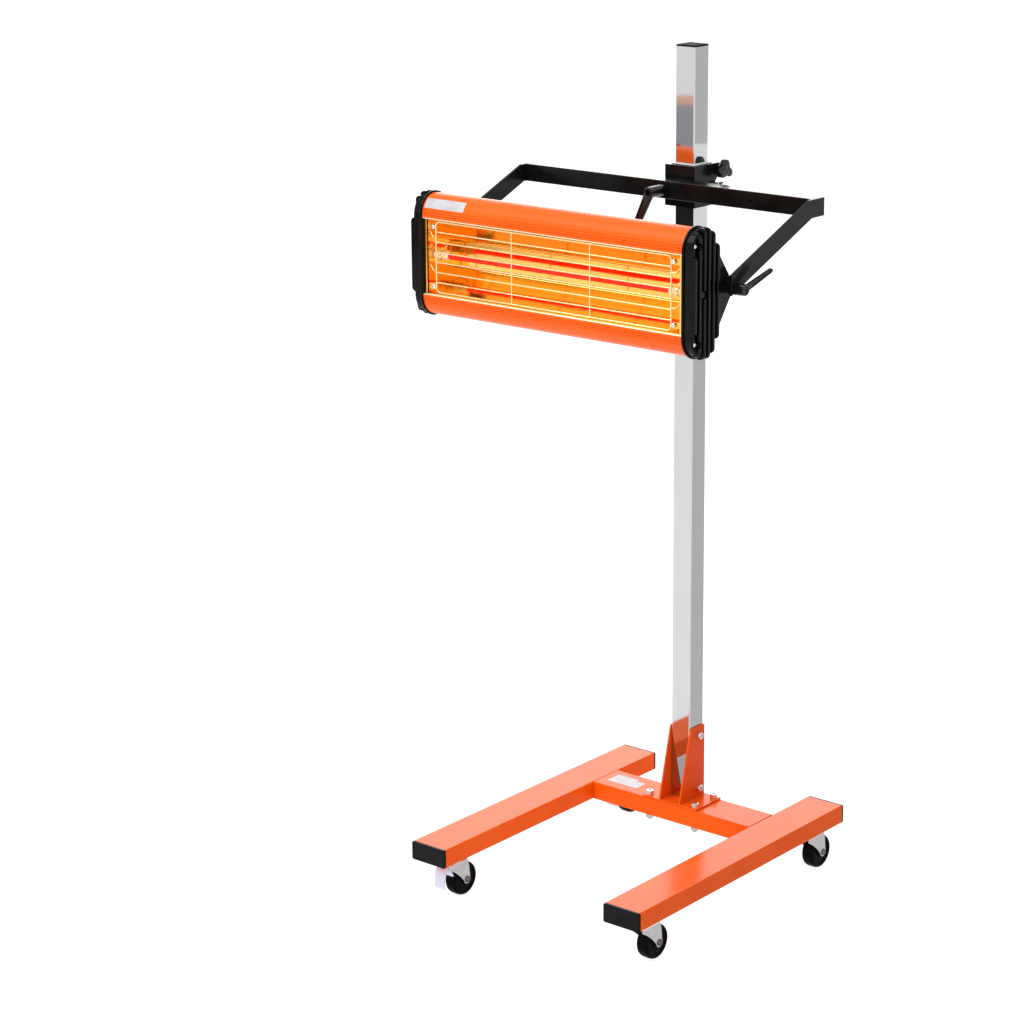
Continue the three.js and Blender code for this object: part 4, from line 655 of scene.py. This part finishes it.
def fork_fittings():
    """The cup on top of the fork, and the axle with its nut."""
    cup = Shape().turned([
        (0, 68.4), (17, 68.4), (17, 71.6), (16.6, 73.2), (15.4, 74.6), (14, 75.5), (0, 75.5),
    ], "Z", steps=56)
    axle = Shape().turned([
        (0, -18.5), (3, -18.5), (3, 15), (6.4, 15), (6.4, 15.9), (5.3, 15.9), (5.3, 17.4), (4.8, 18.2),
        (3.9, 18.5), (3.1, 18.3), (2.6, 17.2), (0, 17.0),
    ], "X", (0, AXLE_Y, AXLE_Z), steps=40)
    nut = Shape().layered(
        lambda inset: [(AXLE_Y + u, AXLE_Z + v) for u, v in hexagon(11 - 2 * inset)],
        [(0.2, -15.4), (0, -16), (0, -17.6), (0.9, -18.3)], "X",
    )
    return cup, axle.with_all(nut)


def race_shape():
    """The fixed race over the fork, with its stem up into the leg."""
    return Shape().turned([
        (0, 62.4), (5.6, 62.4), (6.5, 63.2), (6.5, 65.4), (4, 65.6), (4, 76.0), (18.6, 76.0), (19.6, 76.6),
        (20, 77.6), (20, 80.6), (19.5, 81.5), (18.5, 81.9), (5, 81.9), (5, 95), (0, 95),
    ], "Z", steps=56)


def wheel_shape():
    half = [
        (3.3, 12), (8.8, 12), (9.7, 11.6), (10.2, 10.6), (10.8, 9.7), (21.6, 9.4), (22.8, 9.9),
        (23.4, 11.2), (24.2, 11.9), (25.4, 11.9), (27.2, 11.2), (28.7, 9.8), (29.6, 7.6), (30, 5),
    ]
    return Shape().turned(
        half + flipped(half), "X", (0, AXLE_Y, AXLE_Z), steps=72, ring=True,
    )


def pedal_shape():
    """The brake's pedal: its barrel on the pin, its tread with ribs, and the shoe that meets the wheel."""
    tread = [
        (2.0, 4.4), (-3, 5.4), (-8, 4.6), (-12.5, 1.4), (-15.5, -4), (-17.2, -12), (-19, -30),
        (-18.6, -32.2), (-16.6, -32.4), (-15, -20), (-13.2, -9), (-10.6, -3.6), (-6, -0.4), (0, 0),
    ]
    shoe = [
        (-2.4, 1), (-2.2, -4), (1.6, -10), (6, -16.6), (7.6, -17.2), (9, -15.5), (5.6, -8), (3, -2),
        (2.6, 1),
    ]
    half = [(0, -15.4), (2.5, -15.4), (2.5, -TREAD_HALF), (4.1, -TREAD_HALF), (4.5, 0.4 - TREAD_HALF)]
    pedal = Shape().turned(half + flipped(half), "X", steps=36)
    pedal.prism(tread, -TREAD_HALF, TREAD_HALF, "X").prism(shoe, -SHOE_HALF, SHOE_HALF, "X")
    for z in (-11, -15, -19, -23, -27):
        front = -17.6 + 0.1 * (z + 12)
        pedal.prism([(-16, z), (front, z), (front, z - 1), (-16, z - 1)], -RIB_HALF, RIB_HALF, "X")
    return pedal.at(*PEDAL_PIN)


fork, race, wheel, pedal = fork_shape(), race_shape(), wheel_shape(), pedal_shape()
cup, axle = fork_fittings()
for name, (x, y) in SWIVELS.items():
    here = (Matrix(), x, y, 0)
    placed(fork, *here).piece(
        f"castor_{name}_fork", "zinc", f"swivel_{name}", [f"castor_fork_{name}"], bevel=0.45,
    )
    placed(cup, *here).piece(f"castor_{name}_cup", "zinc", f"swivel_{name}")
    # The axle and its nut are zinc drawn dark: painted shade.
    placed(axle, *here).piece(
        f"castor_{name}_axle", "shaded_zinc", f"swivel_{name}", slot="zinc",
    )
    placed(race, *here).piece(
        f"castor_{name}_race", "zinc", "stand", [f"castor_race_{name}"], angle=50,
    )
    placed(wheel, *here).piece(
        f"castor_{name}_wheel", "black_tread", f"wheel_{name}", [f"castor_wheel_{name}"], angle=50,
    )
    if name.endswith("left"):
        placed(pedal, *here).piece(
            f"brake_{name}_pedal", "pale_nylon", f"pedal_{name}", [f"brake_pedal_{name}"], bevel=0.7,
            slot="white_nylon",
        )


# Clamping levers and the carriage's knob

LEVER_REACH, LEVER_DEPTH, LEVER_RISE = 65.0, 8.0, 9
HUB_SEAT, COLLAR_SEAT = 2.6, 0.6
HUBS = {"roll": {"hub_length": 39.6, "recess": 4}, "tilt": {"hub_length": 14.9, "recess": 1}}
HANDLES = {"roll": {"root": 17, "tip": 13}, "tilt": {"root": 11, "tip": 7.5}}
STUDS = {"roll": {"radius": 5, "length": 56.2}, "tilt": {"radius": 4, "length": 26}}
ROLL_PIVOT, ROLL_TURN = (0, 83.5, 1219), math.radians(20)
TILT_PIVOT, TILT_TURN = (303, -125.5, 1121), math.radians(22.5)
KNOB_Y, KNOB_Z = COLUMN_Y + 32, 1243
KNOB_RADIUS, KNOB_LOBE = 14, 4


def lever_shape(hub_length, recess, root, tip):
    """The grip of a clamping lever: its hub along +Z and its handle towards +X."""
    top = HUB_SEAT + hub_length
    hub = Shape().turned([
        (0, HUB_SEAT), (9.4, HUB_SEAT), (10, 3.2), (9.95, 6), (9.3, top - 2.4), (9.1, top - 1.1),
        (8.4, top - 0.3), (7.4, top), (6.5, top), (5.8, top - 0.3), (5.4, top - 1.2),
        (5.3, top - recess - 1.4), (0, top - recess - 1.4),
    ], "Z", steps=56)
    end = LEVER_REACH - tip / 2
    places = [(5.8 + (end - 5.8) * i / 10, 0.0) for i in range(11)]
    places += [(end, math.radians(angle)) for angle in (20, 40, 58, 72, 82, 87)]
    rings = []
    for along, turn in places:
        width = (root + (tip - root) * along / end) * math.cos(turn)
        depth = LEVER_DEPTH * (1 - 0.14 * along / LEVER_REACH)
        thick = depth * (1 - 0.22 * (1 - math.cos(turn)))
        out = along + 0.5 * tip * math.sin(turn)
        corner = min(2.4, 0.46 * width, 0.46 * thick)
        rings.append([(out, u, v - 0.5 * depth) for u, v in rounded(width, thick, corner, 5)])
    near, far = 0.5 * root - 3.4, 0.5 * tip - 2.0
    hollow = [(15, near), (end - 1.5, far), (end - 1.5, -far), (15, -near)]
    bar = carved(Shape().strips(rings), Shape().prism(hollow, -1.9, 4, "Z"))
    rise = Matrix.Translation((0, 0, top - 1)) @ Matrix.Rotation(math.radians(-LEVER_RISE), 4, "Y")
    return hub.with_all(bar.moved(rise))


def stud_shapes(hub_length, recess, radius, length):
    """A lever's stud with its collar and insert, and the screw that holds the grip on it, drawn dark for the
    shade in the hub's recess.
    """
    head = COLLAR_SEAT + hub_length - recess
    insert = head - 8.6
    stud = Shape().turned([
        (0, -length), (radius - 0.6, -length), (radius, 0.6 - length), (radius, 0.3), (9.6, 0.3), (10, 0.7),
        (10, 1.9), (9.6, 2.3), (6, 2.3), (6, insert), (2.5, insert), (2.5, head), (0, head),
    ], "Z", steps=44)
    screw = Shape().turned([
        (0, head), (4.5, head), (4.5, head + 1.4), (4.0, head + 1.9), (0, head + 1.95),
    ], "Z", steps=36)
    return stud, carved(screw, Shape().prism(hexagon(4.4), head + 0.7, head + 4, "Z"))


def lever_place(origin, axis, handle):
    """Turns +Z to a clamp's axis and +X to its handle, at its pivot."""
    axis, handle = Vector(axis), Vector(handle)
    turn = Matrix((handle, axis.cross(handle), axis)).transposed().to_4x4()
    return Matrix.Translation(origin) @ turn


def tilt_place(sign):
    x, y, z = TILT_PIVOT
    return lever_place((x * sign, y, z), (sign, 0, 0), (0, math.cos(TILT_TURN), math.sin(TILT_TURN)))


CLAMPS = {
    ("roll", ""): lever_place(ROLL_PIVOT, (0, -1, 0), (-math.sin(ROLL_TURN), 0, -math.cos(ROLL_TURN))),
    ("tilt", "_left"): tilt_place(-1),
    ("tilt", "_right"): tilt_place(1),
}
grips = {clamp: lever_shape(**HUBS[clamp], **HANDLES[clamp]) for clamp in HUBS}
for (clamp, side), place in CLAMPS.items():
    placed(grips[clamp], place, 0, 0, 0).piece(
        f"{clamp}_lever{side}_grip", "lever_black", f"{clamp}_handle{side}", [f"{clamp}_lever{side}"],
        bevel=0.3, segments=2, angle=50, slot="black_plastic",
    )
for (clamp, side), place in CLAMPS.items():
    node, body = f"{clamp}_stud{side}", f"{clamp}_clamp{side}"
    stud, screw = stud_shapes(**HUBS[clamp], **STUDS[clamp])
    # The zinc stud is drawn in black paint for the shade at the foot of the hub, and its screw in black for
    # the shade in the hub's recess: painted shade.
    stud.moved(place).piece(f"{node}_shank", "black_paint", body, [node], angle=50, slot="zinc")
    screw.moved(place).piece(f"{node}_screw", "lever_black", body, slot="zinc", angle=45)


def knob_outline(inset):
    """A round knob with three lobes."""
    points = []
    for i in range(72):
        angle = 2 * math.pi * i / 72
        radius = KNOB_RADIUS - inset + KNOB_LOBE * math.cos(3 * (angle - math.pi / 2))
        points.append((KNOB_Y + radius * math.cos(angle), KNOB_Z + radius * math.sin(angle)))
    return points


knob = Shape().layered(knob_outline, [
    (4.0, 40.0), (1.6, 40.4), (0.4, 41.4), (0, 43), (0, 49.4), (0.5, 51), (1.6, 51.9), (3.6, 52.3),
    (8.2, 52.3), (8.8, 51.6),
], "X")
knob.turned([
    (0, 31.3), (7.6, 31.3), (8, 31.8), (8, 38.6), (9.4, 40.6), (0, 40.6),
], "X", (0, KNOB_Y, KNOB_Z), steps=48)
knob.piece("clamp_knob_grip", "lever_black", "knob", ["clamp_knob"], angle=45, slot="black_plastic")


# The lamp head, about the centre of its section

HEAD = (0, -188.5, 1121)
HEAD_HALF, HALF_DEPTH = 267, 33
BOW_Z, BOW_RISE = 66, 36
SHELL_WALL, SHELL_FOOT = 2, 61.2
LAMP = (0, -9, 0)


def bow(grow, angle):
    """A point of the bow over the head, grown outward, at an angle in radians from the back."""
    return (HALF_DEPTH + grow) * math.cos(angle), BOW_Z + (BOW_RISE + grow) * math.sin(angle)


def bow_height(y):
    return BOW_Z + BOW_RISE * math.sqrt(1 - (y / HALF_DEPTH) ** 2)


def head_section(grow):
    top = [bow(grow, math.pi * (1 - i / 28)) for i in range(29)]
    return top + flipped(top)


def upper_shell():
    """The upper section of the extrusion: two grooves and a step by the lip, and a bead at the mouth."""
    turns = [(180, 0), (176.2, 0)]
    for middle, depth in ((174.4, 1.3), (168.2, 1.3), (161.4, 0.9)):
        turns += [(middle + 1.3, 0), (middle + 0.7, depth), (middle - 0.7, depth), (middle - 1.3, 0)]
    turns += [(158.6 - 158.6 * i / 32, 0) for i in range(33)]
    outer = [bow(-depth, math.radians(turn)) for turn, depth in turns]
    inner = [bow(-SHELL_WALL, math.radians(177 * i / 28)) for i in range(29)]
    foot = [(HALF_DEPTH, SHELL_FOOT), (HALF_DEPTH - SHELL_WALL, SHELL_FOOT)]
    return outer + foot + inner + arc(-31.1, 64.9, 1.9, 40, -180, 16)


shells = Shape()
for section in (upper_shell(), flipped(upper_shell())):
    shells.prism(section, -HEAD_HALF, HEAD_HALF, "X")
shells.at(*HEAD).piece("head_shell", "orange_extrusion", "head", ["head_housing"], angle=24)

panel = [(31, -61), (32.5, -61), (33, -60.5), (33, 60.5), (32.5, 61), (31, 61)]
Shape().prism(panel, 0.1 - HEAD_HALF, HEAD_HALF - 0.1, "X").at(*HEAD).piece(
    "head_back_panel", "black_paint", "head",
)

# The bead at the mouth is drawn in a paler gold than the reflector: painted highlight along the lip.
trim = Shape()
for sign in (-1, 1):
    lip = [(y, z * sign) for y, z in arc(-31.5, 64.0, 1.5, 0, 345, 23)]
    trim.prism(lip, 0.2 - HEAD_HALF, HEAD_HALF - 0.2, "X")
trim.at(*HEAD).piece("mouth_trim", "gold_lip_highlight", "head", slot="gold_reflector", angle=50)


# The end caps, made for the right end and mirrored for the left one

RIM = 3
CAP_FRONT = -14.2
CAP_SCREW_Y, CAP_SCREW_HEIGHTS = -22.6, (-77, 77)
RIB_COUNT, RIB_WIDTH, RIB_REACH, RIB_CORNER = 6, 7.2, 292, 8


def rim_outline(inset):
    """The head's section grown by the rim, but not over the flat of the back."""
    section = head_section(RIM - inset)
    half = len(section) // 2
    corner = [(HALF_DEPTH + RIM - inset, 63.4), (HALF_DEPTH - inset, 63.4)]
    return section[:half] + corner + flipped(corner) + section[half:]


def rib_outline(height):
    def outline(inset):
        edge, reach, corner = height - inset, RIB_REACH - inset, RIB_CORNER - inset
        return [
            (279, -edge), *arc(reach - corner, corner - edge, corner, -90, 0),
            *arc(reach - corner, edge - corner, corner, 0, 90), (279, edge),
        ]
    return outline


def cap_pockets():
    """Round holes in front of the end cap's screws, to cut out of what stands over them."""
    pockets = Shape()
    for z in CAP_SCREW_HEIGHTS:
        pockets.turned(
            [(0, 280.1), (6.4, 280.1), (6.6, 300), (0, 300)], "X", (0, CAP_SCREW_Y, z), steps=36,
        )
    return pockets.turned([(0, 280.1), (7, 280.1), (7.2, 300), (0, 300)], "X", LAMP, steps=36)


def cap_shell(pockets):
    """The rim over the extrusion, the body behind it, and the higher front with its two vents."""
    rim = Shape().layered(rim_outline, [
        (1.2, 267.4), (0.3, 267.7), (0, 268.4), (0, 270.2), (0.3, 271.0), (1.2, 271.5), (3, 271.6),
    ], "X")
    body = Shape().layered(
        lambda inset: head_section(-inset),
        [(0.4, 270.9), (0.4, 277.6), (0.7, 278.9), (1.5, 279.7), (2.6, 280)], "X",
    )
    front = Shape().layered(
        lambda inset: head_section(-inset),
        [(0, 271), (0, 283.2), (0.5, 285), (1.6, 286.2), (3.2, 286.7)], "X",
    )
    vents = Shape()
    for z in (-25, 25):
        vents.turned([(0, -40), (1.6, -40), (1.6, -29), (0, -29)], "Y", (274.6, 0, z), steps=20)
    front = carved(front, Shape().block(260, 300, -60, CAP_FRONT, -120, 120), "INTERSECT")
    return rim.with_all(body, carved(carved(front, pockets), vents))


def cap_ribs(pockets):
    """The upright ribs, and the bosses of the screws between them."""
    ribs = Shape()
    for i in range(RIB_COUNT):
        low = -HALF_DEPTH + i * 58.8 / (RIB_COUNT - 1)
        high = low + RIB_WIDTH
        height = 62.5 if i == 0 else bow_height(0.98 * max(abs(low), abs(high))) + RIM
        front = [(2.0, low), (0.6, low + 0.5), (0, low + 1.8)]
        if i == 0:
            front = [(0.6, low + 0.06), (0.15, low + 0.3), (0, low + 0.9)]
        back = [(0, high - 1.8), (0.6, high - 0.5), (2.0, high)]
        rib = Shape().layered(rib_outline(height), front + back, "Y")
        ribs.with_all(carved(rib, pockets) if i in (1, 2) else rib)
    ribs.turned([
        (0, 279), (5.8, 279), (5.8, 288.9), (5.2, 289.5), (4.5, 289.5), (4.3, 289.1), (0, 289.1),
    ], "X", LAMP)
    for z in CAP_SCREW_HEIGHTS:
        ribs.turned(
            [(0, 278), (5.2, 278), (5.2, 283.2), (4.8, 283.5), (0, 283.5)], "X", (0, CAP_SCREW_Y, z),
        )
    return ribs


def end_cap_shapes():
    pockets, head = cap_pockets(), pan_screw(4)
    screws = [placed(head, TO_X, 283.4, CAP_SCREW_Y, z) for z in CAP_SCREW_HEIGHTS]
    middle_screw = placed(head, TO_X, 289, LAMP[1], 0)
    return cap_shell(pockets), cap_ribs(pockets), Shape().with_all(*screws), middle_screw


right_cap = end_cap_shapes()
left_cap = [shape.mirrored() for shape in right_cap]
for side, (shell, ribs, screws, middle_screw) in (("right", right_cap), ("left", left_cap)):
    node = f"end_cap_{side}"
    shell.at(*HEAD).piece(
        f"{node}_shell", "black_gloss", "head", [node], slot="black_plastic", angle=42,
    )
    ribs.at(*HEAD).piece(f"{node}_ribs", "black_gloss", "head", slot="black_plastic", angle=42)
    screws.at(*HEAD).piece(f"{node}_screws", "zinc", "head")
    # The middle screw is zinc drawn black, standing for the shade in its pocket between the ribs: painted
    # shade.
    middle_screw.at(*HEAD).piece(f"{node}_middle_screw", "lever_black", "head", slot="zinc")


# The reflector and the lamp

TROUGH_BACK, TROUGH_CORNER_Z, TROUGH_FOLD = 23, 24, 9
TROUGH_RUN, TROUGH_RISE = 51.7, 38.4
MOUTH_Y, MOUTH_Z = -28.7, 62
SHEET = 1
COIL_HALF, COIL_TURNS, COIL_STEPS, COIL_RADIUS = 222, 113, 10, 2.1
CLIP_X = 243.3


def trough_line(offset):
    """The folded sheet of the trough: an upright back and two sloping sides, with round folds."""
    slope = math.atan2(TROUGH_RISE, TROUGH_RUN)
    turn = math.pi / 2 - slope
    fold_y, fold_z = TROUGH_BACK - TROUGH_FOLD, TROUGH_CORNER_Z - TROUGH_FOLD * math.tan(turn / 2)
    upper = arc(fold_y, fold_z, TROUGH_FOLD + offset, 0, math.degrees(turn), 10)
    upper.append((MOUTH_Y + offset * math.sin(slope), MOUTH_Z + offset * math.cos(slope)))
    return flipped(upper) + upper


# The folded sheet, its lips and end plates, and the pads behind the grille's screws
trough = Shape().prism(trough_line(0) + trough_line(SHEET)[::-1], -259.6, 259.6, "X")
for sign in (-1, 1):
    trough.block(-259, 259, MOUTH_Y - SHEET, MOUTH_Y, *sorted((61.6 * sign, 70 * sign)))
    trough.prism(trough_line(3), *sorted((259.1 * sign, 260.4 * sign)), "X")
    trough.block(*sorted((260.5 * sign, 266.6 * sign)), MOUTH_Y - SHEET, MOUTH_Y, -64, 64)
    for z in (-50, 50):
        trough.prism(rounded(18, 10, 2.5, 4, 251 * sign, z), -25.2, -23.8, "Y")
trough.at(*HEAD).piece("reflector_trough", "gold_reflector", "head", ["reflector"], angle=24)

Shape().turned(
    [(4.0, -234.4), (4.8, -234.4), (4.8, 234.4), (4.0, 234.4)], "X", LAMP, steps=48, ring=True,
).at(*HEAD).piece("quartz_tube_glass", "quartz", "head", ["quartz_tube"])

coil = [(-232, LAMP[1], 0), (-226, LAMP[1], 0)]
for i in range(COIL_TURNS * COIL_STEPS + 1):
    x = -COIL_HALF + 2 * COIL_HALF * i / (COIL_TURNS * COIL_STEPS)
    angle = 2 * math.pi * i / COIL_STEPS
    coil.append((x, LAMP[1] + COIL_RADIUS * math.cos(angle), COIL_RADIUS * math.sin(angle)))
coil += [(226, LAMP[1], 0), (232, LAMP[1], 0)]
filament = Shape().sweep(coil, 0.55, 6)
for start, end in ((-232.4, -234.4), (232.4, 234.4)):
    filament.turned([(0, start), (3.8, start), (3.8, end), (0, end)], "X", LAMP)
filament.at(*HEAD).piece("filament_coil", "hot_wire", "head", ["filament"], angle=60)


def holder_shapes():
    """The right lamp holder: its ceramic body, its spring clip and its lead."""
    body = Shape().turned([
        (5.7, 227.8), (6.6, 227.8), (7.1, 228.3), (7.1, 232), (6.2, 232.6), (6.2, 236), (7.5, 236.6),
        (7.5, 240), (6.4, 240.6), (6.4, 246), (7.5, 246.6), (7.5, 257.8), (7.0, 258.4), (0, 258.4),
        (0, 234.8), (5.7, 234.8),
    ], "X", LAMP, steps=44)
    clip = Shape().turned(
        [(6.6, 241.2), (8.2, 241.2), (8.2, 245.4), (6.6, 245.4)], "X", LAMP, steps=44, ring=True,
    )
    clip.prism(rounded(4.2, 30, 1.2, 4), 7.0, 7.9, "Y", (CLIP_X, LAMP[1], 0))
    clip.turned([(0, -9.4), (2.2, -9.4), (2.2, -8.2), (0, -8.2)], "Y", (CLIP_X, 0, 11.5))
    lead = Shape().sweep([
        (CLIP_X, -1, 11.5), (243.6, 2, 13.5), (246, 5, 15), (250, 7, 15.4), (256, 8, 15.2), (258.8, 8.2, 15),
    ], 1.1, 8)
    return body, clip, lead


right_holder = holder_shapes()
left_holder = [shape.mirrored() for shape in right_holder]
for side, (body, clip, lead) in (("left", left_holder), ("right", right_holder)):
    node = f"lamp_holder_{side}"
    body.at(*HEAD).piece(f"{node}_body", "ceramic", "head", [node], angle=45)
    clip.at(*HEAD).piece(f"{node}_clip", "grille_steel", "head", angle=45)
    lead.at(*HEAD).piece(f"{node}_lead", "ceramic", "head", angle=60)


# Grille: a closed frame of wire, cross wires ahead of it and screws with wide heads at its sides

GRILLE_Y, GRILLE_WIDTH, GRILLE_HEIGHT, GRILLE_CORNER = -27, 484, 118, 8
GRILLE_ROWS, GRILLE_COLUMNS = 7, 3
GRILLE_SCREW_X, GRILLE_SCREW_Z = 247, 50


def grille_path(points):
    """Points with their Y counted from the plane of the grille."""
    return [(x, GRILLE_Y + y, z) for x, y, z in points]


grille = Shape().sweep(
    grille_path((u, 0, v) for u, v in rounded(GRILLE_WIDTH, GRILLE_HEIGHT, GRILLE_CORNER, 8)),
    1.5, 12, closed=True,
)
for row in range(1, GRILLE_ROWS):
    z = -GRILLE_HEIGHT / 2 + GRILLE_HEIGHT * row / GRILLE_ROWS
    wire = [(-242.6, -1.6, z), (-238, -1.7, z), (238, -1.7, z), (242.6, -1.6, z)]
    grille.sweep(grille_path(wire), 1.15, 10)
for column in range(1, GRILLE_COLUMNS):
    x = -GRILLE_WIDTH / 2 + GRILLE_WIDTH * column / GRILLE_COLUMNS
    wire = [(x, 0.3, -59.6), (x, 0.5, -54), (x, 0.5, 54), (x, 0.3, 59.6)]
    grille.sweep(grille_path(wire), 1.2, 10)
for sign in (-1, 1):
    for z in (-26, 30):
        hook = [
            (241.5 * sign, 0, z + 3), (247 * sign, 0, z + 2.6), (251 * sign, 1, z + 4),
            (255 * sign, 3, z + 9), (258.6 * sign, 4, z + 11),
        ]
        grille.sweep(grille_path(hook), 0.9, 8)
grille.at(*HEAD).piece("grille_wires", "grille_steel", "head", ["grille"], angle=50)

clamps = Shape()
head = pan_screw(3.6, 8, 2.2)
for x in (-GRILLE_SCREW_X, GRILLE_SCREW_X):
    for z in (-GRILLE_SCREW_Z, GRILLE_SCREW_Z):
        clamps.with_all(placed(head, TO_FRONT, x, GRILLE_Y - 1.2, z))
clamps.at(*HEAD).piece("grille_screws", "zinc", "head")


# The terminal box's lid, with an opening for the switch

LID_WIDTH, LID_HEIGHT, LID_CORNER = 105, 59, 4
LID_SCREW_X, LID_SCREW_Z = 46, 23.5

lid = carved(
    Shape().layered(
        lambda inset: rounded(LID_WIDTH - 2 * inset, LID_HEIGHT - 2 * inset, LID_CORNER, 5),
        [(0, 64), (0, 66.6), (0.6, 67.2)], "Y",
    ),
    Shape().prism(rounded(13.6, 20.2, 0.8, 3, 28, 0), 60, 70, "Y"),
)
lid.at(*HEAD).piece("terminal_box_lid", "black_gloss", "head", slot="black_plastic", angle=40)
screws = Shape()
head = pan_screw(2.7)
for x in (-LID_SCREW_X, LID_SCREW_X):
    for z in (-LID_SCREW_Z, LID_SCREW_Z):
        screws.with_all(placed(head, TO_Y, x, 67.1, z))
screws.at(*HEAD).piece("terminal_box_screws", "zinc", "head")


# Blank labels

def label_line(grow):
    """A line over the front of the head, a little above the extrusion."""
    points = [bow(grow, math.radians(24 + 30 * i / 14)) for i in range(15)]
    return [(-y, z) for y, z in points]


Shape().prism(label_line(0.02) + label_line(0.22)[::-1], -264, -180, "X").at(*HEAD).piece(
    "head_label", "label", "head", slot="orange_extrusion", angle=30,
)
slips = Shape().prism(rounded(46, 34, 1.5, 4, -134, 150), 115.02, 115.2, "Z")
slips.prism(rounded(40, 28, 1.5, 4, -110, 146), 115.22, 115.4, "Z")
slips.piece("beam_label", "label", "stand", slot="orange_paint")


# Every other node keeps its shape, with rounded edges, their widths in metres

EDGE = 0.0004
WIDER_EDGES = {
    "foot_bracket": 0.0008, "carriage_sleeve": 0.0009, "terminal_box": 0.001, "glide_liner": 0.0005,
    "arm_left": 0.0006, "arm_right": 0.0006,
}
for node in SLOT_OF:
    if node not in taken:
        dress(node, WIDER_EDGES.get(node, EDGE))


# Studio, in metres

LIGHT_TARGET = (0, 0, 0.6)
COLUMN_PLACE = (0, 0.16)
FLOOR_HALF, FLOOR_Z, SHADE_CARD_Z = 30, -0.0004, 0.0002
SIDE_CARD, SIDE_CARD_WIDTH = (0.40, 0.62), 0.62
FRONT_CARD, FRONT_CARD_WIDTH, FRONT_CARD_SPLIT = (-0.776, -0.90), 0.36, 1.180
SIDE_TONE, GREY_TONE, SALMON_TONE = (0.75, 0.75, 0.75), (0.44, 0.44, 0.47), (1.06, 0.58, 0.48)
BASE_SHADE_TONE = (0.6, 0.6, 0.6)
FLAG_X = 1.15


def area_light(name, place, width, height, power):
    data = bpy.data.lights.new(name, "AREA")
    data.shape = "RECTANGLE"
    data.size, data.size_y = width, height
    data.energy = power
    lamp = add_object(name, data)
    lamp.location = place
    aim = Vector(LIGHT_TARGET) - Vector(place)
    lamp.rotation_euler = aim.to_track_quat("-Z", "Y").to_euler()


def stage_mesh(name, corners, material):
    mesh = bpy.data.meshes.new(name)
    mesh.from_pydata(corners, [], [tuple(range(len(corners)))])
    mesh.materials.append(material)
    thing = add_object(name, mesh)
    return thing


def level_corners(x0, x1, y0, y1, z):
    return [(x0, y0, z), (x1, y0, z), (x1, y1, z), (x0, y1, z)]


def gloss_card(name, corners, tone):
    """A card that only the gloss of the pieces sees."""
    material = bpy.data.materials.new(name)
    material.use_nodes = True
    shader = material.node_tree.nodes["Principled BSDF"]
    shader.inputs["Base Color"].default_value = (0, 0, 0, 1)
    shader.inputs["Specular IOR Level"].default_value = 0
    shader.inputs["Emission Color"].default_value = (*tone, 1)
    shader.inputs["Emission Strength"].default_value = 1.0
    card = stage_mesh(name, corners, material)
    card.visible_camera = card.visible_diffuse = False
    card.visible_shadow = card.visible_transmission = False


def upright_card(name, centre, width, low, high, tone):
    """An upright card that faces the column."""
    x, y = centre
    away_x, away_y = x - COLUMN_PLACE[0], y - COLUMN_PLACE[1]
    length = math.hypot(away_x, away_y)
    u, v = -away_y / length * width / 2, away_x / length * width / 2
    corners = [(x - u, y - v, low), (x + u, y + v, low), (x + u, y + v, high), (x - u, y - v, high)]
    gloss_card(name, corners, tone)


area_light("key_light", (-1.2, -1.9, 4.2), 2.6, 2.6, 78)
area_light("back_light", (-3.0, 4.0, 2.5), 4.4, 2.8, 105)

world = bpy.data.worlds.new("studio")
scene.world = world
world.use_nodes = True
world.node_tree.nodes["Background"].inputs["Color"].default_value = (1, 1, 1, 1)
world.node_tree.nodes["Background"].inputs["Strength"].default_value = 1.0

stage_mesh(
    "floor", level_corners(-FLOOR_HALF, FLOOR_HALF, -FLOOR_HALF, FLOOR_HALF, FLOOR_Z),
    make_finish(
        "floor", (0.28, 0.28, 0.28), (0.32, 0.32, 0.32), 0.85, mottle=0.6, grain=30, specular=0.05,
        Emission_Color=(1, 1, 1, 1), Emission_Strength=0.87,
    ),
)

upright_card("side_card_low", SIDE_CARD, SIDE_CARD_WIDTH, 0.0, 1.03, SIDE_TONE)
upright_card("side_card_high", SIDE_CARD, SIDE_CARD_WIDTH, 1.20, 1.9, SIDE_TONE)
upright_card("front_card_grey", FRONT_CARD, FRONT_CARD_WIDTH, 0.95, FRONT_CARD_SPLIT, GREY_TONE)
upright_card("front_card_salmon", FRONT_CARD, FRONT_CARD_WIDTH, FRONT_CARD_SPLIT, 1.200, SALMON_TONE)
# A grey card under the base that only gloss sees, so the glossy parts reflect a darker floor there: painted
# shade.
gloss_card("base_shade_card", level_corners(-0.3, 0.55, -0.42, 0.55, SHADE_CARD_Z), BASE_SHADE_TONE)

# A black flag on the right keeps the light off the sides of the legs
flag = stage_mesh(
    "flag", [(FLAG_X, -1.0, 0.0), (FLAG_X, 1.6, 0.0), (FLAG_X, 1.6, 0.9), (FLAG_X, -1.0, 0.9)],
    make_finish("flag_cloth", (0.004, 0.004, 0.004), (0.006, 0.006, 0.006), 0.9, specular=0.0),
)
flag.visible_camera = flag.visible_glossy = flag.visible_transmission = False

scene.view_settings.view_transform = "Standard"
